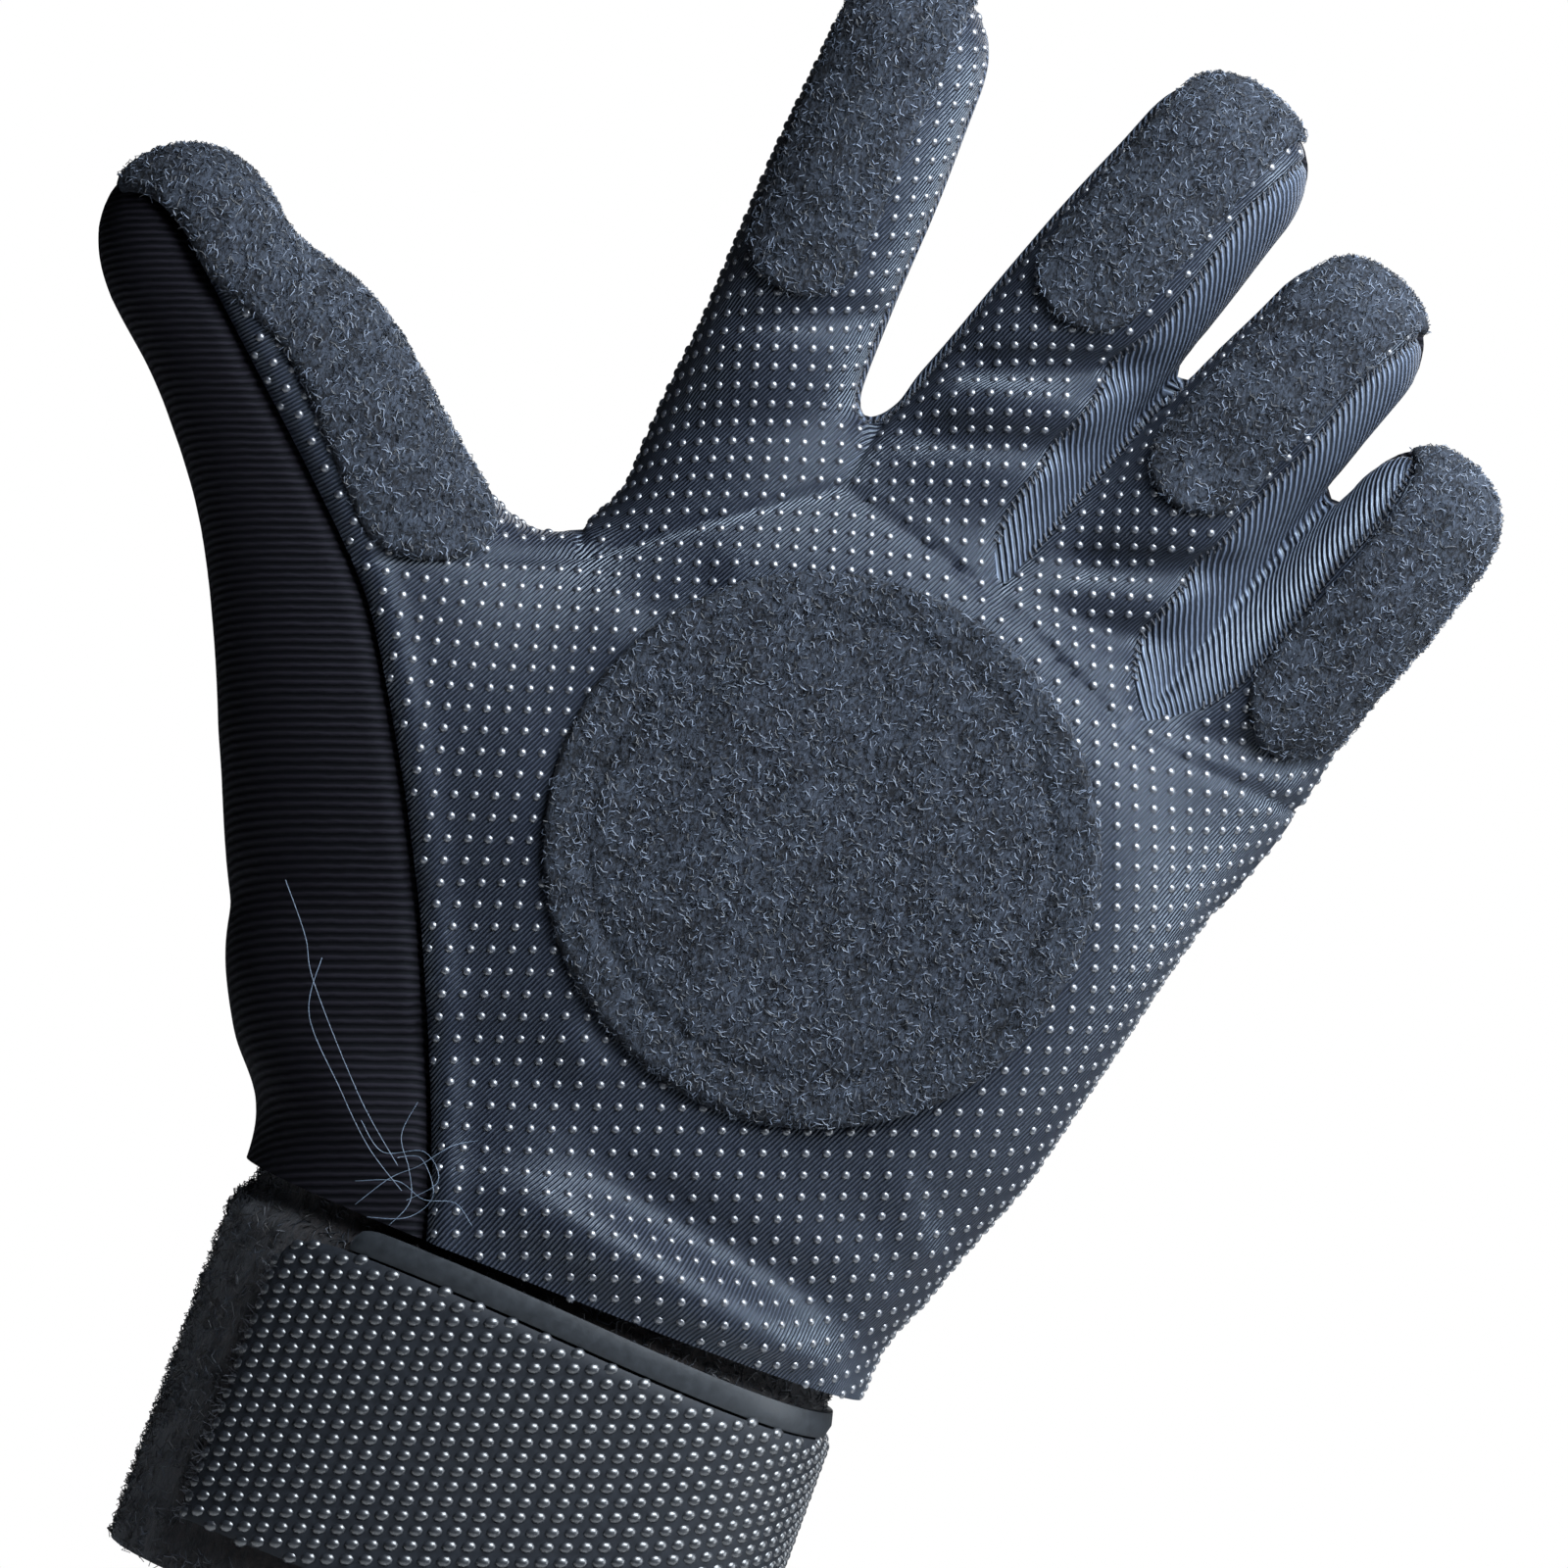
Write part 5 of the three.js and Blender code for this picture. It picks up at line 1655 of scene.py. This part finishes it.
def area_light(name, place, target, size, power, colour):
    light = bpy.data.lights.new(name, "AREA")
    light.shape = "RECTANGLE"
    light.size, light.size_y = size
    light.energy = power
    light.color = colour
    holder = bpy.data.objects.new(name, light)
    holder.location = place
    holder.rotation_euler = (Vector(target) - Vector(place)).to_track_quat("-Z", "Y").to_euler()
    bpy.context.scene.collection.objects.link(holder)


class GLOVE_OT_studio(bpy.types.Operator):
    """Set the pale floor, the soft studio light and the camera"""

    bl_idname = "glove.studio"
    bl_label = "Studio"

    def execute(self, context):
        scene = context.scene
        camera = bpy.data.cameras.new("camera")
        camera.lens = CAMERA_LENS
        camera.sensor_width = 36
        distance = VIEW_WIDTH * CAMERA_LENS / camera.sensor_width
        camera.clip_start, camera.clip_end = distance / 100, distance * 30
        holder = bpy.data.objects.new("camera", camera)
        holder.location = Vector(VIEW_CENTRE) - Vector((0, distance, 0))
        facing = Euler((math.radians(90), 0, 0)).to_matrix().to_4x4()
        roll = Matrix.Rotation(math.radians(-CAMERA_ROLL), 4, "Y")
        holder.matrix_world = Matrix.Translation(holder.location) @ roll @ facing
        scene.collection.objects.link(holder)
        scene.camera = holder

        radius, height, sides = 1.2, -0.22, 96
        angles = angles_round(sides)
        rings = np.stack([
            np.stack([out * np.cos(angles), out * np.sin(angles), np.full(sides, z)], axis=1)
            for out, z in ((radius, height - 0.02), (radius, height))])
        points, faces = lofted(rings)
        mesh = raw_mesh("floor", points, faces)
        material, tree, shader = new_material("floor")
        seen = add_node(tree, "ShaderNodeLightPath", {})
        set_inputs(tree, shader, {
            "Base Color": colours().floor[:], "Roughness": 0.9, "Emission Color": colours().floor[:],
            "Emission Strength": seen.outputs["Is Camera Ray"]})
        mesh.materials.append(material)
        floor = bpy.data.objects.new("floor", mesh)
        scene.collection.objects.link(floor)

        world = bpy.data.worlds.new("studio")
        world.use_nodes = True
        tree = world.node_tree
        dim = node_of(tree, "BACKGROUND")
        set_inputs(tree, dim, {"Color": (0.9, 0.95, 1, 1), "Strength": 0.025})
        bright = add_node(tree, "ShaderNodeBackground", {"Color": (1, 1, 1, 1), "Strength": 1})
        seen = add_node(tree, "ShaderNodeLightPath", {})
        mix = add_node(tree, "ShaderNodeMixShader", {
            "Fac": seen.outputs["Is Camera Ray"], 1: dim.outputs["Background"],
            2: bright.outputs["Background"]})
        set_inputs(tree, node_of(tree, "OUTPUT_WORLD"), {"Surface": mix.outputs["Shader"]})
        scene.world = world
        scene.view_settings.view_transform = "Standard"

        target = (0.01, 0, 0.12)
        area_light("key", (0.17, -0.24, 0.43), target, (0.34, 0.34), 11.5, (0.84, 0.92, 1))
        area_light("side", (0.95, -0.1, 0.35), target, (0.5, 0.8), 11, (0.86, 0.93, 1))
        area_light("back", (0.3, 0.9, 0.6), target, (0.8, 0.8), 5, (0.95, 0.97, 1))
        return {"FINISHED"}


STEPS = (
    GLOVE_OT_studio, GLOVE_OT_hand_panels, GLOVE_OT_palm_dots, GLOVE_OT_seam_stitches, GLOVE_OT_finger_pads,
    GLOVE_OT_palm_pad, GLOVE_OT_pad_pile, GLOVE_OT_cuff, GLOVE_OT_strap, GLOVE_OT_loose_threads,
)


class GLOVE_PT_panel(bpy.types.Panel):
    """Steps, sizes and colours of the glove"""

    bl_idname = "GLOVE_PT_panel"
    bl_label = "Slide glove"
    bl_space_type = "VIEW_3D"
    bl_region_type = "UI"
    bl_category = "Slide glove"

    def draw(self, context):
        for step in STEPS:
            self.layout.operator(step.bl_idname)
        for group in (context.scene.glove_sizes, context.scene.glove_colours):
            column = self.layout.column()
            for name in type(group).__annotations__:
                column.prop(group, name)


CLASSES = (GloveSizes, GloveColours, *STEPS, GLOVE_PT_panel)


def register():
    for each in CLASSES:
        bpy.utils.register_class(each)
    bpy.types.Scene.glove_sizes = PointerProperty(type=GloveSizes)
    bpy.types.Scene.glove_colours = PointerProperty(type=GloveColours)


def unregister():
    del bpy.types.Scene.glove_colours
    del bpy.types.Scene.glove_sizes
    for each in reversed(CLASSES):
        bpy.utils.unregister_class(each)


def main():
    register()
    bpy.ops.glove.studio()
    bpy.ops.glove.hand_panels()
    bpy.ops.glove.palm_dots()
    bpy.ops.glove.seam_stitches()
    bpy.ops.glove.finger_pads()
    bpy.ops.glove.palm_pad()
    bpy.ops.glove.pad_pile()
    bpy.ops.glove.cuff()
    bpy.ops.glove.strap()
    bpy.ops.glove.loose_threads()


if __name__ == "__main__":
    main()
